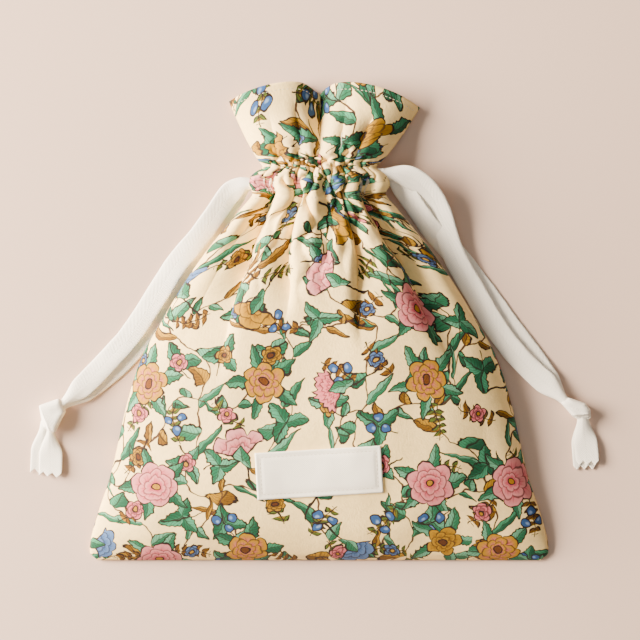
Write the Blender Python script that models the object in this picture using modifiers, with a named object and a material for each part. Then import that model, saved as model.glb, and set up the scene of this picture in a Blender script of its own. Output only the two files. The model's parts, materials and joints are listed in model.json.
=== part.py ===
"""A kinchaku drawstring pouch, drawn shut and lying on its back.

One folded and sewn cotton cloth, a small cotton label, and two drawstring tapes. Each tape runs once round the
casing, leaves it as two strands at one side, and ends in a knot with two tails. Metres, +Z up, +Y to the mouth.
"""
import math

import bmesh
import bpy
from mathutils import Matrix, Vector

# Pouch, seen from above
BODY_WIDTH = 0.2000
BODY_HEIGHT = 0.1712
NECK_WIDTH = 0.0470
HEAD_HEIGHT = 0.0380
LEFT_LOBE_WIDTH = 0.0393
RIGHT_LOBE_WIDTH = 0.0439
NOTCH_DEPTH = 0.0105
LEFT_CORNER_DROP = 0.0087
RIGHT_CORNER_DROP = 0.0114
EAR_REACH = 0.0040

# Pouch, seen from the side
BODY_THICKNESS = 0.0260
FOLD_THICKNESS = 0.0028
SEAM_HEIGHT = 0.0030
NECK_THICKNESS = 0.0200
HEAD_THICKNESS = 0.0125
CLOTH_WALL = 0.0008
GATHER_DEPTH = 0.0046
HEAD_GAP = 0.0028

# Drawstring tape and the casing that it runs in
TAPE_WIDTH = 0.0100
TAPE_THICKNESS = 0.0007
CASED_TAPE_WIDTH = 0.0044
CASING_HEIGHT = 0.0097
CASING_BELOW_NECK = 0.0005
PASSAGE_WIDTH = 0.0220
PASSAGE_GAP = 0.0024
CASING_RADIUS = 0.0032
CASING_RUN = 0.0165
STRAND_RISE = 0.0010
POCKET_REACH = 0.0045
EXIT_STANDOFF = 0.0006
BEND_STEPS = 8
STRAND_SPREAD = 0.0140
KNOT_SHARE = 0.60
CLEARANCE = 0.0003

# Label
LABEL_WIDTH = 0.0543
LABEL_HEIGHT = 0.0203
LABEL_THICKNESS = 0.0005
LABEL_FROM_FOLD = 0.0391
LABEL_TILT = math.radians(3.5)

# Knots and their tails
KNOT_THICKNESS = 0.0080
PINK_DEPTH = 0.0022
PINK_COUNT = 4

BOTTOM_Y = -(BODY_HEIGHT + HEAD_HEIGHT) / 2
NECK_Y = BOTTOM_Y + BODY_HEIGHT
NECK_MIDDLE = NECK_THICKNESS / 2
CASING_TOP = NECK_Y - CASING_BELOW_NECK
CASING_MIDDLE = CASING_TOP - CASING_HEIGHT / 2
EXIT_REACH = NECK_WIDTH / 2 + EAR_REACH + EXIT_STANDOFF
LEFT_ALONG = CASING_MIDDLE - (CASED_TAPE_WIDTH + CLEARANCE) / 2
RIGHT_ALONG = CASING_MIDDLE + (CASED_TAPE_WIDTH + CLEARANCE) / 2

# Half width between neck (0) and fullest (1), by height up the body: bottom fold at 0, neck at 1
BODY_OUTLINE = (
    (0.000, 0.955), (0.020, 1.000), (0.090, 0.975), (0.220, 0.880), (0.400, 0.788), (0.520, 0.703),
    (0.600, 0.606), (0.710, 0.458), (0.800, 0.316), (0.895, 0.140), (0.950, 0.040), (1.000, 0.000),
)
# Height of the crown as a share of the body's thickness, by height up the body
BODY_CROWN = (
    (0.000, 0.060), (0.020, 0.170), (0.090, 0.330), (0.260, 0.560), (0.500, 0.790), (0.730, 0.970),
    (0.860, 1.000), (0.930, 0.900), (1.000, 0.770),
)
# Folds that run down from the gathers: place at the neck and at the foot, share of the gathers' depth, depth
# of the long fold below, its spread to the left and to the right, and how far down it reaches
FOLDS = (
    (-0.86, -0.86, 0.60, 0.0020, 0.060, 0.050, 0.34), (-0.70, -0.70, 0.75, 0.0000, 0.060, 0.060, 0.20),
    (-0.55, -0.545, 1.00, 0.0088, 0.170, 0.020, 0.52), (-0.36, -0.36, 0.70, 0.0000, 0.060, 0.060, 0.20),
    (-0.20, -0.215, 0.95, 0.0062, 0.090, 0.018, 0.36), (-0.08, -0.08, 0.70, 0.0000, 0.060, 0.060, 0.20),
    (0.03, 0.06, 1.00, 0.0050, 0.020, 0.060, 0.25), (0.17, 0.15, 0.75, 0.0000, 0.060, 0.060, 0.20),
    (0.31, 0.23, 1.00, 0.0070, 0.018, 0.085, 0.44), (0.49, 0.76, 0.90, 0.0105, 0.020, 0.170, 0.47),
    (0.67, 0.85, 0.80, 0.0000, 0.060, 0.060, 0.20), (0.86, 0.93, 0.50, 0.0000, 0.060, 0.060, 0.20),
)
BODY_ROWS = (
    0.0, 0.02, 0.07, 0.14, 0.22, 0.31, 0.40, 0.48, 0.55, 0.61, 0.67, 0.72, 0.77, 0.81, 0.845, 0.875, 0.90,
    0.92, 0.94, 0.955, 0.97, 0.985, 1.0,
)
HEAD_ROWS = (0.07, 0.16, 0.28, 0.42, 0.56, 0.71, 0.86, 1.0)
FLAT_SHARE = 0.72
GATHER_SPREAD = 0.046
FOLD_WIDENING = 1.1
HEAD_FADE = 0.55

# Routes of the free strands after their exit, in millimetres: across, along, height of the middle, roll in degrees
LEFT_UPPER_ROUTE = (
    (-32.8, 58.9, 10.7, 4), (-38.2, 55.4, 9.0, 12), (-43.4, 48.3, 6.9, 14), (-49.4, 39.8, 4.8, 12),
    (-54.6, 32.5, 3.3, 8), (-59.2, 26.0, 2.4, 4), (-65.2, 16.8, 1.9, 0), (-71.0, 8.0, 1.7, 0),
    (-76.8, -0.7, 1.7, 0), (-83.0, -9.2, 1.7, 0), (-89.7, -16.8, 1.8, 0), (-96.3, -23.4, 2.3, 0),
    (-103.0, -29.3, 3.3, 0), (-110.9, -35.8, 4.5, 0),
)
LEFT_LOWER_ROUTE = (
    (-32.2, 58.4, 8.6, 6), (-37.2, 53.6, 6.9, 18), (-41.6, 46.6, 4.8, 20), (-47.8, 38.6, 3.1, 16),
    (-53.6, 31.0, 1.8, 8), (-58.6, 24.4, 1.0, 2), (-64.8, 15.4, 0.6, 0), (-70.6, 7.0, 0.5, 0),
    (-76.4, -1.6, 0.5, 0), (-82.6, -10.0, 0.5, 0), (-89.3, -17.6, 0.6, 0), (-95.9, -24.2, 0.9, 0),
    (-102.6, -30.2, 1.9, 0), (-110.7, -36.6, 3.2, 0),
)
RIGHT_UPPER_ROUTE = (
    (32.2, 63.5, 10.9, 0), (37.0, 62.8, 10.6, -8), (42.0, 60.6, 9.8, -14), (46.8, 56.6, 8.4, -18),
    (50.9, 50.6, 6.6, -18), (54.4, 43.0, 5.0, -14), (57.6, 35.2, 3.7, -8), (61.2, 28.0, 2.7, -4),
    (65.4, 20.6, 2.1, 0), (70.2, 12.8, 1.8, 0), (75.4, 3.8, 1.7, 0), (80.8, -4.6, 1.7, 0),
    (86.4, -12.0, 1.8, 0), (92.3, -19.2, 2.3, 0), (98.6, -26.2, 3.3, 0), (106.2, -34.0, 4.5, 0),
)
RIGHT_LOWER_ROUTE = (
    (31.4, 62.6, 8.6, -6), (35.8, 58.0, 7.4, -20), (40.2, 51.6, 6.0, -28), (44.9, 44.9, 4.6, -30),
    (50.0, 37.7, 3.2, -24), (55.2, 30.6, 1.8, -12), (60.6, 23.4, 0.9, -2), (66.0, 16.4, 0.6, 0),
    (71.4, 9.4, 0.5, 0), (76.6, 2.2, 0.5, 0), (82.0, -5.0, 0.5, 0), (87.6, -12.2, 0.6, 0),
    (93.6, -19.6, 0.9, 0), (99.4, -26.6, 1.9, 0), (106.8, -34.8, 3.2, 0),
)
# Knots: middle of the lump and of each tail's end, in millimetres, and the turn of the lump in degrees
LEFT_KNOT = {"middle": (-116.2, -40.6), "size": (13.2, 11.2), "turn": 38,
             "front_tail": (-118.6, -67.2, -46.0), "back_tail": (-121.8, -66.4, -46.5)}
RIGHT_KNOT = {"middle": (112.2, -38.8), "size": (13.6, 10.2), "turn": -28,
              "front_tail": (116.8, -62.8, -41.6), "back_tail": (115.4, -64.2, -42.0)}


def clear_scene():
    """Removes every object, mesh and collection that the file opened with."""
    for item in list(bpy.data.objects):
        bpy.data.objects.remove(item, do_unlink=True)
    for group in list(bpy.data.collections):
        bpy.data.collections.remove(group)


def new_collection(name):
    """A collection linked to the scene."""
    group = bpy.data.collections.new(name)
    bpy.context.scene.collection.children.link(group)
    return group


def cotton(name, colour, roughness):
    """A plain Principled cotton of one colour."""
    material = bpy.data.materials.new(name)
    material.use_nodes = True
    shader = material.node_tree.nodes["Principled BSDF"]
    shader.inputs["Base Color"].default_value = (*colour, 1.0)
    shader.inputs["Roughness"].default_value = roughness
    shader.inputs["Metallic"].default_value = 0.0
    material.diffuse_color = (*colour, 1.0)
    return material


def follow(points, place):
    """The value at a place on a smooth curve through (place, value) points."""
    if place <= points[0][0]:
        return points[0][1]
    if place >= points[-1][0]:
        return points[-1][1]
    index = next(i for i in range(len(points) - 1) if place <= points[i + 1][0])

    def slope(i):
        before = points[max(i - 1, 0)]
        after = points[min(i + 1, len(points) - 1)]
        return (after[1] - before[1]) / (after[0] - before[0])

    start, end = points[index], points[index + 1]
    span = end[0] - start[0]
    u = (place - start[0]) / span
    return ((2 * u ** 3 - 3 * u ** 2 + 1) * start[1] + (u ** 3 - 2 * u ** 2 + u) * span * slope(index)
            + (3 * u ** 2 - 2 * u ** 3) * end[1] + (u ** 3 - u ** 2) * span * slope(index + 1))


def ease(low, high, value):
    """A smooth step from 0 at low to 1 at high."""
    u = min(max((value - low) / (high - low), 0.0), 1.0)
    return u * u * (3 - 2 * u)


def bump(centre, spread, value):
    """A bell of height 1."""
    return math.exp(-((value - centre) / spread) ** 2)


def rim_drop(across):
    """How far the rim lies below the head's top, across the two lobes."""
    corner = LEFT_CORNER_DROP if across < 0 else RIGHT_CORNER_DROP
    return corner * abs(across) ** 2.6 + NOTCH_DEPTH * math.exp(-abs(across) / 0.075)


def cloth_place(across, row):
    """X and Y of the cloth: across runs from -1 to 1, row from 0 at the fold to 1 at the neck and 2 at the rim."""
    half_neck = NECK_WIDTH / 2
    if row <= 1:
        half = half_neck + (BODY_WIDTH / 2 - half_neck) * follow(BODY_OUTLINE, row)
        y = BOTTOM_Y + row * BODY_HEIGHT
        half += EAR_REACH * bump(CASING_MIDDLE, CASING_HEIGHT * 0.36, y)
        return across * half, y
    climb = row - 1
    lobe = LEFT_LOBE_WIDTH if across < 0 else RIGHT_LOBE_WIDTH
    half = half_neck + (lobe - half_neck) * climb ** 0.78
    return across * half, NECK_Y + climb * (HEAD_HEIGHT - rim_drop(across))


def closeness(row):
    """1 where the casing is drawn shut, 0 where the pouch is open inside."""
    if row <= 1:
        return ease(0.85, 0.925, row)
    return 1 - ease(0.04, 0.30, row - 1)


def seam_lift(row):
    """Height of the side seams, which rise to the middle of the gathered neck."""
    if row <= 1:
        low = FOLD_THICKNESS / 2 + (SEAM_HEIGHT - FOLD_THICKNESS / 2) * ease(0.0, 0.25, row)
        return low + (NECK_MIDDLE - low) * ease(0.55, 0.97, row)
    return NECK_MIDDLE + (HEAD_THICKNESS * 0.40 - NECK_MIDDLE) * ease(0.0, 0.6, row - 1)


def fold_place(fold, row):
    """Place across the cloth of a fold's crease at a row."""
    neck_place, foot_place, reach = fold[0], fold[1], fold[6]
    share = min(max((1 - row) / reach, 0.0), 1.0)
    return neck_place + (foot_place - neck_place) * share


def fold_depth(fold, across, row):
    """How far a fold dips the cloth's upper face."""
    offset = across - fold_place(fold, row)
    neck_share, body_depth, left, right, reach = fold[2:]
    gather = GATHER_DEPTH * neck_share * bump(0.0, GATHER_SPREAD, offset)
    if row > 1:
        return gather * (1 - ease(0.0, HEAD_FADE, row - 1))
    share = min((1 - row) / reach, 1.0)
    spread = (left if offset < 0 else right) * (1 + FOLD_WIDENING * share)
    below = body_depth * math.exp(-abs(offset / spread) ** 1.5)
    return max(gather * ease(0.86, 0.95, row), below * ease(1 - reach, 0.88, row) * (1 - ease(0.895, 0.94, row)))


def front_height(across, row):
    """Height of the cloth's upper face."""
    side = abs(across)
    seam = seam_lift(row)
    if row <= 1:
        crown = BODY_THICKNESS * follow(BODY_CROWN, row)
        crown += (NECK_THICKNESS - BODY_THICKNESS * BODY_CROWN[-1][1]) * ease(0.9, 1.0, row)
        roundness = max(1 - side ** (3.0 - 0.6 * row), 0.0) ** (0.60 - 0.06 * row)
        height = seam + max(crown - seam, 0.0) * roundness
    else:
        climb = row - 1
        neck_round = max(1 - side ** 2.4, 0.0) ** 0.58
        lobe_round = max(1 - abs(2 * side - 1) ** 3.2, 0.0) ** 0.6
        neck_form = seam + (NECK_THICKNESS - seam) * neck_round
        lobe_form = seam + (HEAD_THICKNESS - seam) * lobe_round
        lobe_form -= 0.6 * seam * bump(0.0, 0.08, across)
        height = neck_form + (lobe_form - neck_form) * ease(0.0, 0.75, climb)
    near_side = min(1.0, 4 * (1 - side))
    height -= sum(fold_depth(fold, across, row) for fold in FOLDS) * near_side
    return height


def tuck_share(across):
    """1 on a gather's crease, 0 a third of the way to the next."""
    places = [-1.0] + [fold[0] for fold in FOLDS] + [1.0]
    nearest = min(range(1, len(places) - 1), key=lambda i: abs(places[i] - across))
    offset = across - places[nearest]
    neighbour = places[nearest + 1] if offset > 0 else places[nearest - 1]
    reach = abs(neighbour - places[nearest]) / 3
    return max(0.0, 1 - abs(offset) / reach)


def back_height(across, row):
    """Height of the cloth's under face, which lies flat on the ground away from seams and gathers."""
    side = abs(across)
    curl = max(0.0, (side - FLAT_SHARE) / (1 - FLAT_SHARE)) ** 2
    height = seam_lift(row) * curl
    if row <= 1:
        height += FOLD_THICKNESS / 2 * (1 - curl) * max(0.0, 1 - row / 0.03) ** 2
        return height + GATHER_DEPTH * 0.7 * tuck_share(across) * ease(0.86, 0.95, row) * (1 - curl)
    climb = row - 1
    peak = max(front_height(across, row) - HEAD_GAP - height, 0.0)
    neck_tuck = GATHER_DEPTH * 0.7 * (1 - curl)
    lift = neck_tuck + (peak - neck_tuck) * ease(0.05, 0.45, climb)
    return height + max(lift, 0.0) * tuck_share(across) * min(1.0, 5 * (1 - side))


def inner_point(across, row, upper):
    """A point of the cloth's inner face, opposite the outer point of the same place and row."""
    x, y = cloth_place(across, row)
    front = front_height(across, row)
    back = back_height(across, row)
    gap = max(front - back, 0.0)
    shut = closeness(row)
    half_gap = 0.5 * gap * gap / (gap + 2 * CLOTH_WALL)
    half_gap += (PASSAGE_GAP / 2 - half_gap) * shut
    middle = (front + back) / 2
    middle += (NECK_MIDDLE - middle) * shut
    narrow = 1 - (1 - PASSAGE_WIDTH / NECK_WIDTH) * shut
    x = x * narrow - math.copysign(CLOTH_WALL * abs(across) ** 12, across)
    y += CLOTH_WALL * (1 - row / 2) ** 2
    ends = abs(across) == 1 or row == 0
    offset = 0.0 if ends else half_gap
    return Vector((x, y, middle + offset if upper else middle - offset))


def outer_point(across, row, upper):
    """A point of the cloth's outer face."""
    x, y = cloth_place(across, row)
    if abs(across) == 1:
        return Vector((x, y, seam_lift(row)))
    if row == 0:
        return Vector((x, y, FOLD_THICKNESS / 2))
    return Vector((x, y, front_height(across, row) if upper else back_height(across, row)))


def fold_columns(row):
    """Places across the cloth at a row: each crease and two places between it and the next."""
    creases = [-1.0] + [fold_place(fold, row) for fold in FOLDS] + [1.0]
    columns = []
    for left, right in zip(creases, creases[1:]):
        columns += [left + (right - left) * third / 3 for third in range(3)]
    return columns + [1.0]


def add_skin(shape, point_of, outward):
    """Adds one closed-bottomed skin, front and back, and returns its rim as two rows of corners."""
    rows = list(BODY_ROWS) + [1 + climb for climb in HEAD_ROWS]
    upper, lower = [], []
    for row in rows:
        columns = fold_columns(row)
        top = [shape.verts.new(point_of(across, row, True)) for across in columns]
        if row == 0:
            bottom = top
        else:
            middle = [shape.verts.new(point_of(across, row, False)) for across in columns[1:-1]]
            bottom = [top[0]] + middle + [top[-1]]
        upper.append(top)
        lower.append(bottom)
    for layer, faces_up in ((upper, True), (lower, False)):
        for near, far in zip(layer, layer[1:]):
            for i in range(len(columns) - 1):
                corners = []
                for corner in (near[i], near[i + 1], far[i + 1], far[i]):
                    if corner not in corners:
                        corners.append(corner)
                if len(corners) < 3:
                    continue
                if faces_up != outward:
                    corners.reverse()
                shape.faces.new(corners)
    return upper[-1], lower[-1]


def add_rim(shape, outer, inner):
    """Joins the outer and the inner skin along the raw edge of the mouth."""
    for side, flipped in ((0, False), (1, True)):
        for i in range(len(outer[side]) - 1):
            corners = [outer[side][i], outer[side][i + 1], inner[side][i + 1], inner[side][i]]
            if flipped:
                corners.reverse()
            shape.faces.new(corners)


def mesh_object(name, shape, group, material):
    """A mesh object from a bmesh."""
    mesh = bpy.data.meshes.new(name)
    shape.to_mesh(mesh)
    shape.free()
    item = bpy.data.objects.new(name, mesh)
    mesh.materials.append(material)
    group.objects.link(item)
    return item


def ribbon_curve(name, points, rolls, shares):
    """A flat tape as a curve: its width is level where its roll is 0, and it narrows by its shares."""
    curve = bpy.data.curves.new(name, "CURVE")
    curve.dimensions = "3D"
    curve.twist_mode = "Z_UP"
    curve.extrude = (TAPE_WIDTH - TAPE_THICKNESS) / 2
    curve.bevel_depth = TAPE_THICKNESS / 2
    curve.bevel_resolution = 1
    curve.use_fill_caps = True
    spline = curve.splines.new("POLY")
    spline.points.add(len(points) - 1)
    for corner, point, roll, share in zip(spline.points, points, rolls, shares):
        corner.co = (*point, 1.0)
        corner.tilt = math.radians(90 + roll)
        corner.radius = share
    return curve


def flat_curve(name, outlines, depth):
    """A flat plate as a filled curve: its outer outline, and any hole after it."""
    curve = bpy.data.curves.new(name, "CURVE")
    curve.dimensions = "2D"
    curve.fill_mode = "BOTH"
    curve.extrude = depth / 2
    for outline in outlines:
        spline = curve.splines.new("POLY")
        spline.points.add(len(outline) - 1)
        for corner, point in zip(spline.points, outline):
            corner.co = (point.x, point.y, 0.0, 1.0)
        spline.use_cyclic_u = True
    return curve


def smooth_route(exit_point, route, spacing):
    """Points and rolls read from a smooth curve from an exit through a route's own points."""
    stops = [exit_point] + [Vector(stop[:3]) * 0.001 for stop in route]
    reached = [0.0]
    for near, far in zip(stops, stops[1:]):
        reached.append(reached[-1] + (far - near).length)
    tracks = [[(place, stop[axis]) for place, stop in zip(reached, stops)] for axis in range(3)]
    rolls = [0] + [stop[3] for stop in route]
    roll_track = list(zip(reached, rolls))
    count = max(round(reached[-1] / spacing), 2)
    places = [reached[-1] * i / count for i in range(count + 1)]
    points = [Vector([follow(track, place) for track in tracks]) for place in places]
    shares = []
    for place in places:
        spread = CASED_TAPE_WIDTH / TAPE_WIDTH + (1 - CASED_TAPE_WIDTH / TAPE_WIDTH) * ease(0, STRAND_SPREAD, place)
        drawn_in = KNOT_SHARE + (1 - KNOT_SHARE) * ease(0, STRAND_SPREAD, reached[-1] - place)
        shares.append(min(spread, drawn_in))
    return points, [follow(roll_track, place) for place in places], shares


def solid_from_curve(name, curve, place, group, material):
    """A welded mesh object from a curve, moved to its place."""
    guide = bpy.data.objects.new(name + "_guide", curve)
    group.objects.link(guide)
    bpy.context.view_layer.update()
    evaluated = guide.evaluated_get(bpy.context.evaluated_depsgraph_get())
    mesh = bpy.data.meshes.new_from_object(evaluated)
    bpy.data.objects.remove(guide, do_unlink=True)
    bpy.data.curves.remove(curve)
    shape = bmesh.new()
    shape.from_mesh(mesh)
    bpy.data.meshes.remove(mesh)
    bmesh.ops.remove_doubles(shape, verts=shape.verts, dist=0.000005)
    bmesh.ops.recalc_face_normals(shape, faces=shape.faces)
    bmesh.ops.transform(shape, matrix=place, verts=shape.verts)
    return mesh_object(name, shape, group, material)


def free_strand(name, side, rise, route, group, material):
    """One free strand of a drawstring, straight out of its exit and then along its route."""
    along = LEFT_ALONG if side < 0 else RIGHT_ALONG
    exit_point = Vector((side * (EXIT_REACH + CLEARANCE), along, NECK_MIDDLE + rise))
    points, rolls, shares = smooth_route(exit_point, route, TAPE_WIDTH * 0.6)
    points.insert(1, exit_point + Vector((side * TAPE_THICKNESS, 0, 0)))
    rolls.insert(1, rolls[0])
    shares.insert(1, shares[0])
    curve = ribbon_curve(name, points, rolls, shares)
    item = bpy.data.objects.new(name, curve)
    curve.materials.append(material)
    group.objects.link(item)
    return item


def stadium(run, radius):
    """A closed outline of two straight runs and two half circles."""
    points = []
    for side in (1, -1):
        for step in range(BEND_STEPS + 1):
            angle = math.pi / 2 - math.pi * step / BEND_STEPS
            points.append(Vector((side * (run + radius * math.cos(angle)), side * radius * math.sin(angle))))
    return points


def cased_path(side):
    """The hidden stretch of a tape, seen along the pouch: in at one side (-1 left, 1 right), round, and out."""
    upper = [Vector((side * EXIT_REACH, STRAND_RISE))]
    for step in range(BEND_STEPS + 1):
        share = step / BEND_STEPS
        rise = (CASING_RADIUS - STRAND_RISE) * ease(0, 1, share)
        upper.append(Vector((side * (CASING_RUN + POCKET_REACH - 2 * POCKET_REACH * share), STRAND_RISE + rise)))
    turn = []
    for step in range(BEND_STEPS + 1):
        angle = math.pi / 2 - math.pi * step / BEND_STEPS
        turn.append(Vector((-side * (CASING_RUN + CASING_RADIUS * math.cos(angle)), CASING_RADIUS * math.sin(angle))))
    lower = [Vector((point.x, -point.y)) for point in reversed(upper)]
    return upper + turn + lower


def thick_line(path, thickness):
    """The outline of a line drawn with a thickness."""
    left, right = [], []
    for i, point in enumerate(path):
        before = path[max(i - 1, 0)]
        after = path[min(i + 1, len(path) - 1)]
        along = (after - before).normalized()
        across = Vector((-along.y, along.x)) * thickness / 2
        left.append(point + across)
        right.append(point - across)
    return left + list(reversed(right))


def casing_place(along):
    """Stands a flat outline upright across the neck, at a distance along the pouch."""
    return Matrix.Translation((0, along, NECK_MIDDLE)) @ Matrix.Rotation(math.pi / 2, 4, "X")


def box_cutter(name, low, high, group):
    """A block between two corners, kept out of sight and used to cut."""
    shape = bmesh.new()
    bmesh.ops.create_cube(shape, size=1.0)
    size = [far - near for near, far in zip(low, high)]
    middle = [(far + near) / 2 for near, far in zip(low, high)]
    bmesh.ops.scale(shape, vec=size, verts=shape.verts)
    bmesh.ops.translate(shape, vec=middle, verts=shape.verts)
    return hide_cutter(mesh_object(name, shape, group, bpy.data.materials["casing_cut"]))


def hide_cutter(item):
    """Keeps a cutter out of the render."""
    item.hide_render = True
    item.display_type = "WIRE"
    return item


def casing_cutters(group, material):
    """The room that the tapes run in: a flat ring round the neck, a pocket at each end, and a slot out at each ear."""
    room = TAPE_THICKNESS / 2 + CLEARANCE
    band = CASING_HEIGHT + 2 * CLEARANCE
    outlines = [stadium(CASING_RUN, CASING_RADIUS + room), stadium(CASING_RUN, CASING_RADIUS - room)]
    ring = flat_curve("casing_ring_cut", outlines, band)
    cutters = [hide_cutter(solid_from_curve("casing_ring_cut", ring, casing_place(CASING_MIDDLE), group, material))]
    half_strand = CASED_TAPE_WIDTH / 2 + CLEARANCE
    pocket_half = CASING_RADIUS + room + CLEARANCE
    pocket_band = band + 2 * CLEARANCE
    slot_half = STRAND_RISE + room
    for side, along in ((-1, LEFT_ALONG), (1, RIGHT_ALONG)):
        name = "left" if side < 0 else "right"
        near, far = sorted((side * (CASING_RUN - POCKET_REACH), side * (CASING_RUN + POCKET_REACH)))
        low = (near, CASING_MIDDLE - pocket_band / 2, NECK_MIDDLE - pocket_half)
        high = (far, CASING_MIDDLE + pocket_band / 2, NECK_MIDDLE + pocket_half)
        cutters.append(box_cutter(name + "_pocket_cut", low, high, group))
        near, far = sorted((side * CASING_RUN, side * (NECK_WIDTH / 2 + 2 * EAR_REACH)))
        low = (near, along - half_strand, NECK_MIDDLE - slot_half)
        high = (far, along + half_strand, NECK_MIDDLE + slot_half)
        cutters.append(box_cutter(name + "_slot_cut", low, high, group))
    return cutters


def make_cloth(group, cutter_group, material, cut_material):
    """The folded and sewn cloth: body, gathered casing, and the frilled head with its open mouth."""
    shape = bmesh.new()
    outer = add_skin(shape, outer_point, True)
    inner = add_skin(shape, inner_point, False)
    add_rim(shape, outer, inner)
    cloth = mesh_object("pouch_cloth", shape, group, material)
    for cutter in casing_cutters(cutter_group, cut_material):
        cut = cloth.modifiers.new(cutter.name, "BOOLEAN")
        cut.operation = "DIFFERENCE"
        cut.solver = "EXACT"
        cut.object = cutter
    return cloth


def make_label(group, material):
    """The label, lying on the front of the body just clear of the cloth."""
    shape = bmesh.new()
    bmesh.ops.create_grid(shape, x_segments=14, y_segments=5, size=0.5)
    turn = Matrix.Rotation(LABEL_TILT, 3, "Z")
    for corner in shape.verts:
        flat = turn @ Vector((corner.co.x * LABEL_WIDTH, corner.co.y * LABEL_HEIGHT, 0))
        y = BOTTOM_Y + LABEL_FROM_FOLD + flat.y
        row = (y - BOTTOM_Y) / BODY_HEIGHT
        half = cloth_place(1.0, row)[0]
        corner.co = (flat.x, y, front_height(flat.x / half, row) + CLEARANCE)
    label = mesh_object("label", shape, group, material)
    thicken = label.modifiers.new("thickness", "SOLIDIFY")
    thicken.thickness = LABEL_THICKNESS
    thicken.offset = 1.0
    return label


def tail_outline(root, end, root_width, end_width):
    """Corners of a flat tail from the knot to its pinked end."""
    root, end = Vector(root), Vector(end)
    along = (end - root).normalized()
    across = Vector((-along.y, along.x))
    widest = root + (end - root) * 0.55
    left = [root + across * root_width / 2, widest + across * end_width / 2]
    right = [widest - across * end_width / 2, root - across * root_width / 2]
    teeth = []
    for tooth in range(2 * PINK_COUNT + 1):
        share = 0.5 - tooth / (2 * PINK_COUNT)
        depth = 0.0 if tooth % 2 == 0 else PINK_DEPTH
        teeth.append(end + across * end_width * share - along * depth)
    return left + teeth + right


def make_knot(side, knot, group, cutter_group, material):
    """A pulled-tight knot of both strands, with its two pinked tails lying on each other."""
    width, depth = (size * 0.001 for size in knot["size"])
    middle = Vector((knot["middle"][0] * 0.001, knot["middle"][1] * 0.001, KNOT_THICKNESS / 2))
    turn = Matrix.Rotation(math.radians(knot["turn"]), 4, "Z")
    shape = bmesh.new()
    bmesh.ops.create_uvsphere(shape, u_segments=18, v_segments=12, radius=1.0)
    for corner in shape.verts:
        x, y, z = corner.co
        waist = 1 - 0.10 * math.cos(3 * x)
        corner.co = (x * width / 2, y * depth / 2 * waist, z * KNOT_THICKNESS / 2)
    bmesh.ops.transform(shape, matrix=Matrix.Translation(middle) @ turn, verts=shape.verts)
    item = mesh_object(side + "_knot", shape, group, material)
    for order, key in enumerate(("back_tail", "front_tail")):
        x, end_y, root_y = (value * 0.001 for value in knot[key])
        root = (middle.x + (x - middle.x) * 0.35, root_y + 0.004)
        outline = tail_outline(root, (x, end_y), TAPE_WIDTH * 0.55, TAPE_WIDTH)
        height = TAPE_THICKNESS / 2 + order * (TAPE_THICKNESS + CLEARANCE)
        curve = flat_curve(side + "_" + key, [outline], TAPE_THICKNESS)
        place = Matrix.Translation((0, 0, height))
        strip = hide_cutter(solid_from_curve(side + "_" + key, curve, place, cutter_group, material))
        join = item.modifiers.new(key, "BOOLEAN")
        join.operation = "UNION"
        join.solver = "EXACT"
        join.object = strip
    return item


def make_cased_loop(name, side, along, group, material):
    """The stretch of a drawstring that the casing hides, creased along its middle."""
    curve = flat_curve(name, [thick_line(cased_path(side), TAPE_THICKNESS)], CASED_TAPE_WIDTH)
    return solid_from_curve(name, curve, casing_place(along), group, material)


def main():
    """Builds the pouch."""
    clear_scene()
    group = new_collection("kinchaku_pouch")
    cutter_group = new_collection("cutters")
    printed = cotton("printed_cotton", (0.83, 0.72, 0.52), 0.85)
    tape = cotton("cotton_tape", (0.86, 0.83, 0.76), 0.80)
    label = cotton("label_cotton", (0.87, 0.83, 0.76), 0.85)
    cut = cotton("casing_cut", (0.5, 0.5, 0.5), 0.8)
    make_cloth(group, cutter_group, printed, cut)
    make_label(group, label)
    make_cased_loop("left_tape_in_casing", -1, LEFT_ALONG, group, tape)
    make_cased_loop("right_tape_in_casing", 1, RIGHT_ALONG, group, tape)
    free_strand("left_tape_upper", -1, STRAND_RISE, LEFT_UPPER_ROUTE, group, tape)
    free_strand("left_tape_lower", -1, -STRAND_RISE, LEFT_LOWER_ROUTE, group, tape)
    free_strand("right_tape_upper", 1, STRAND_RISE, RIGHT_UPPER_ROUTE, group, tape)
    free_strand("right_tape_lower", 1, -STRAND_RISE, RIGHT_LOWER_ROUTE, group, tape)
    make_knot("left", LEFT_KNOT, group, cutter_group, tape)
    make_knot("right", RIGHT_KNOT, group, cutter_group, tape)


main()
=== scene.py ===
"""Dresses a drawn-shut drawstring pouch: printed cotton, herringbone tapes, a bare label and stitching."""
import ast
import json
import math

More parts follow.
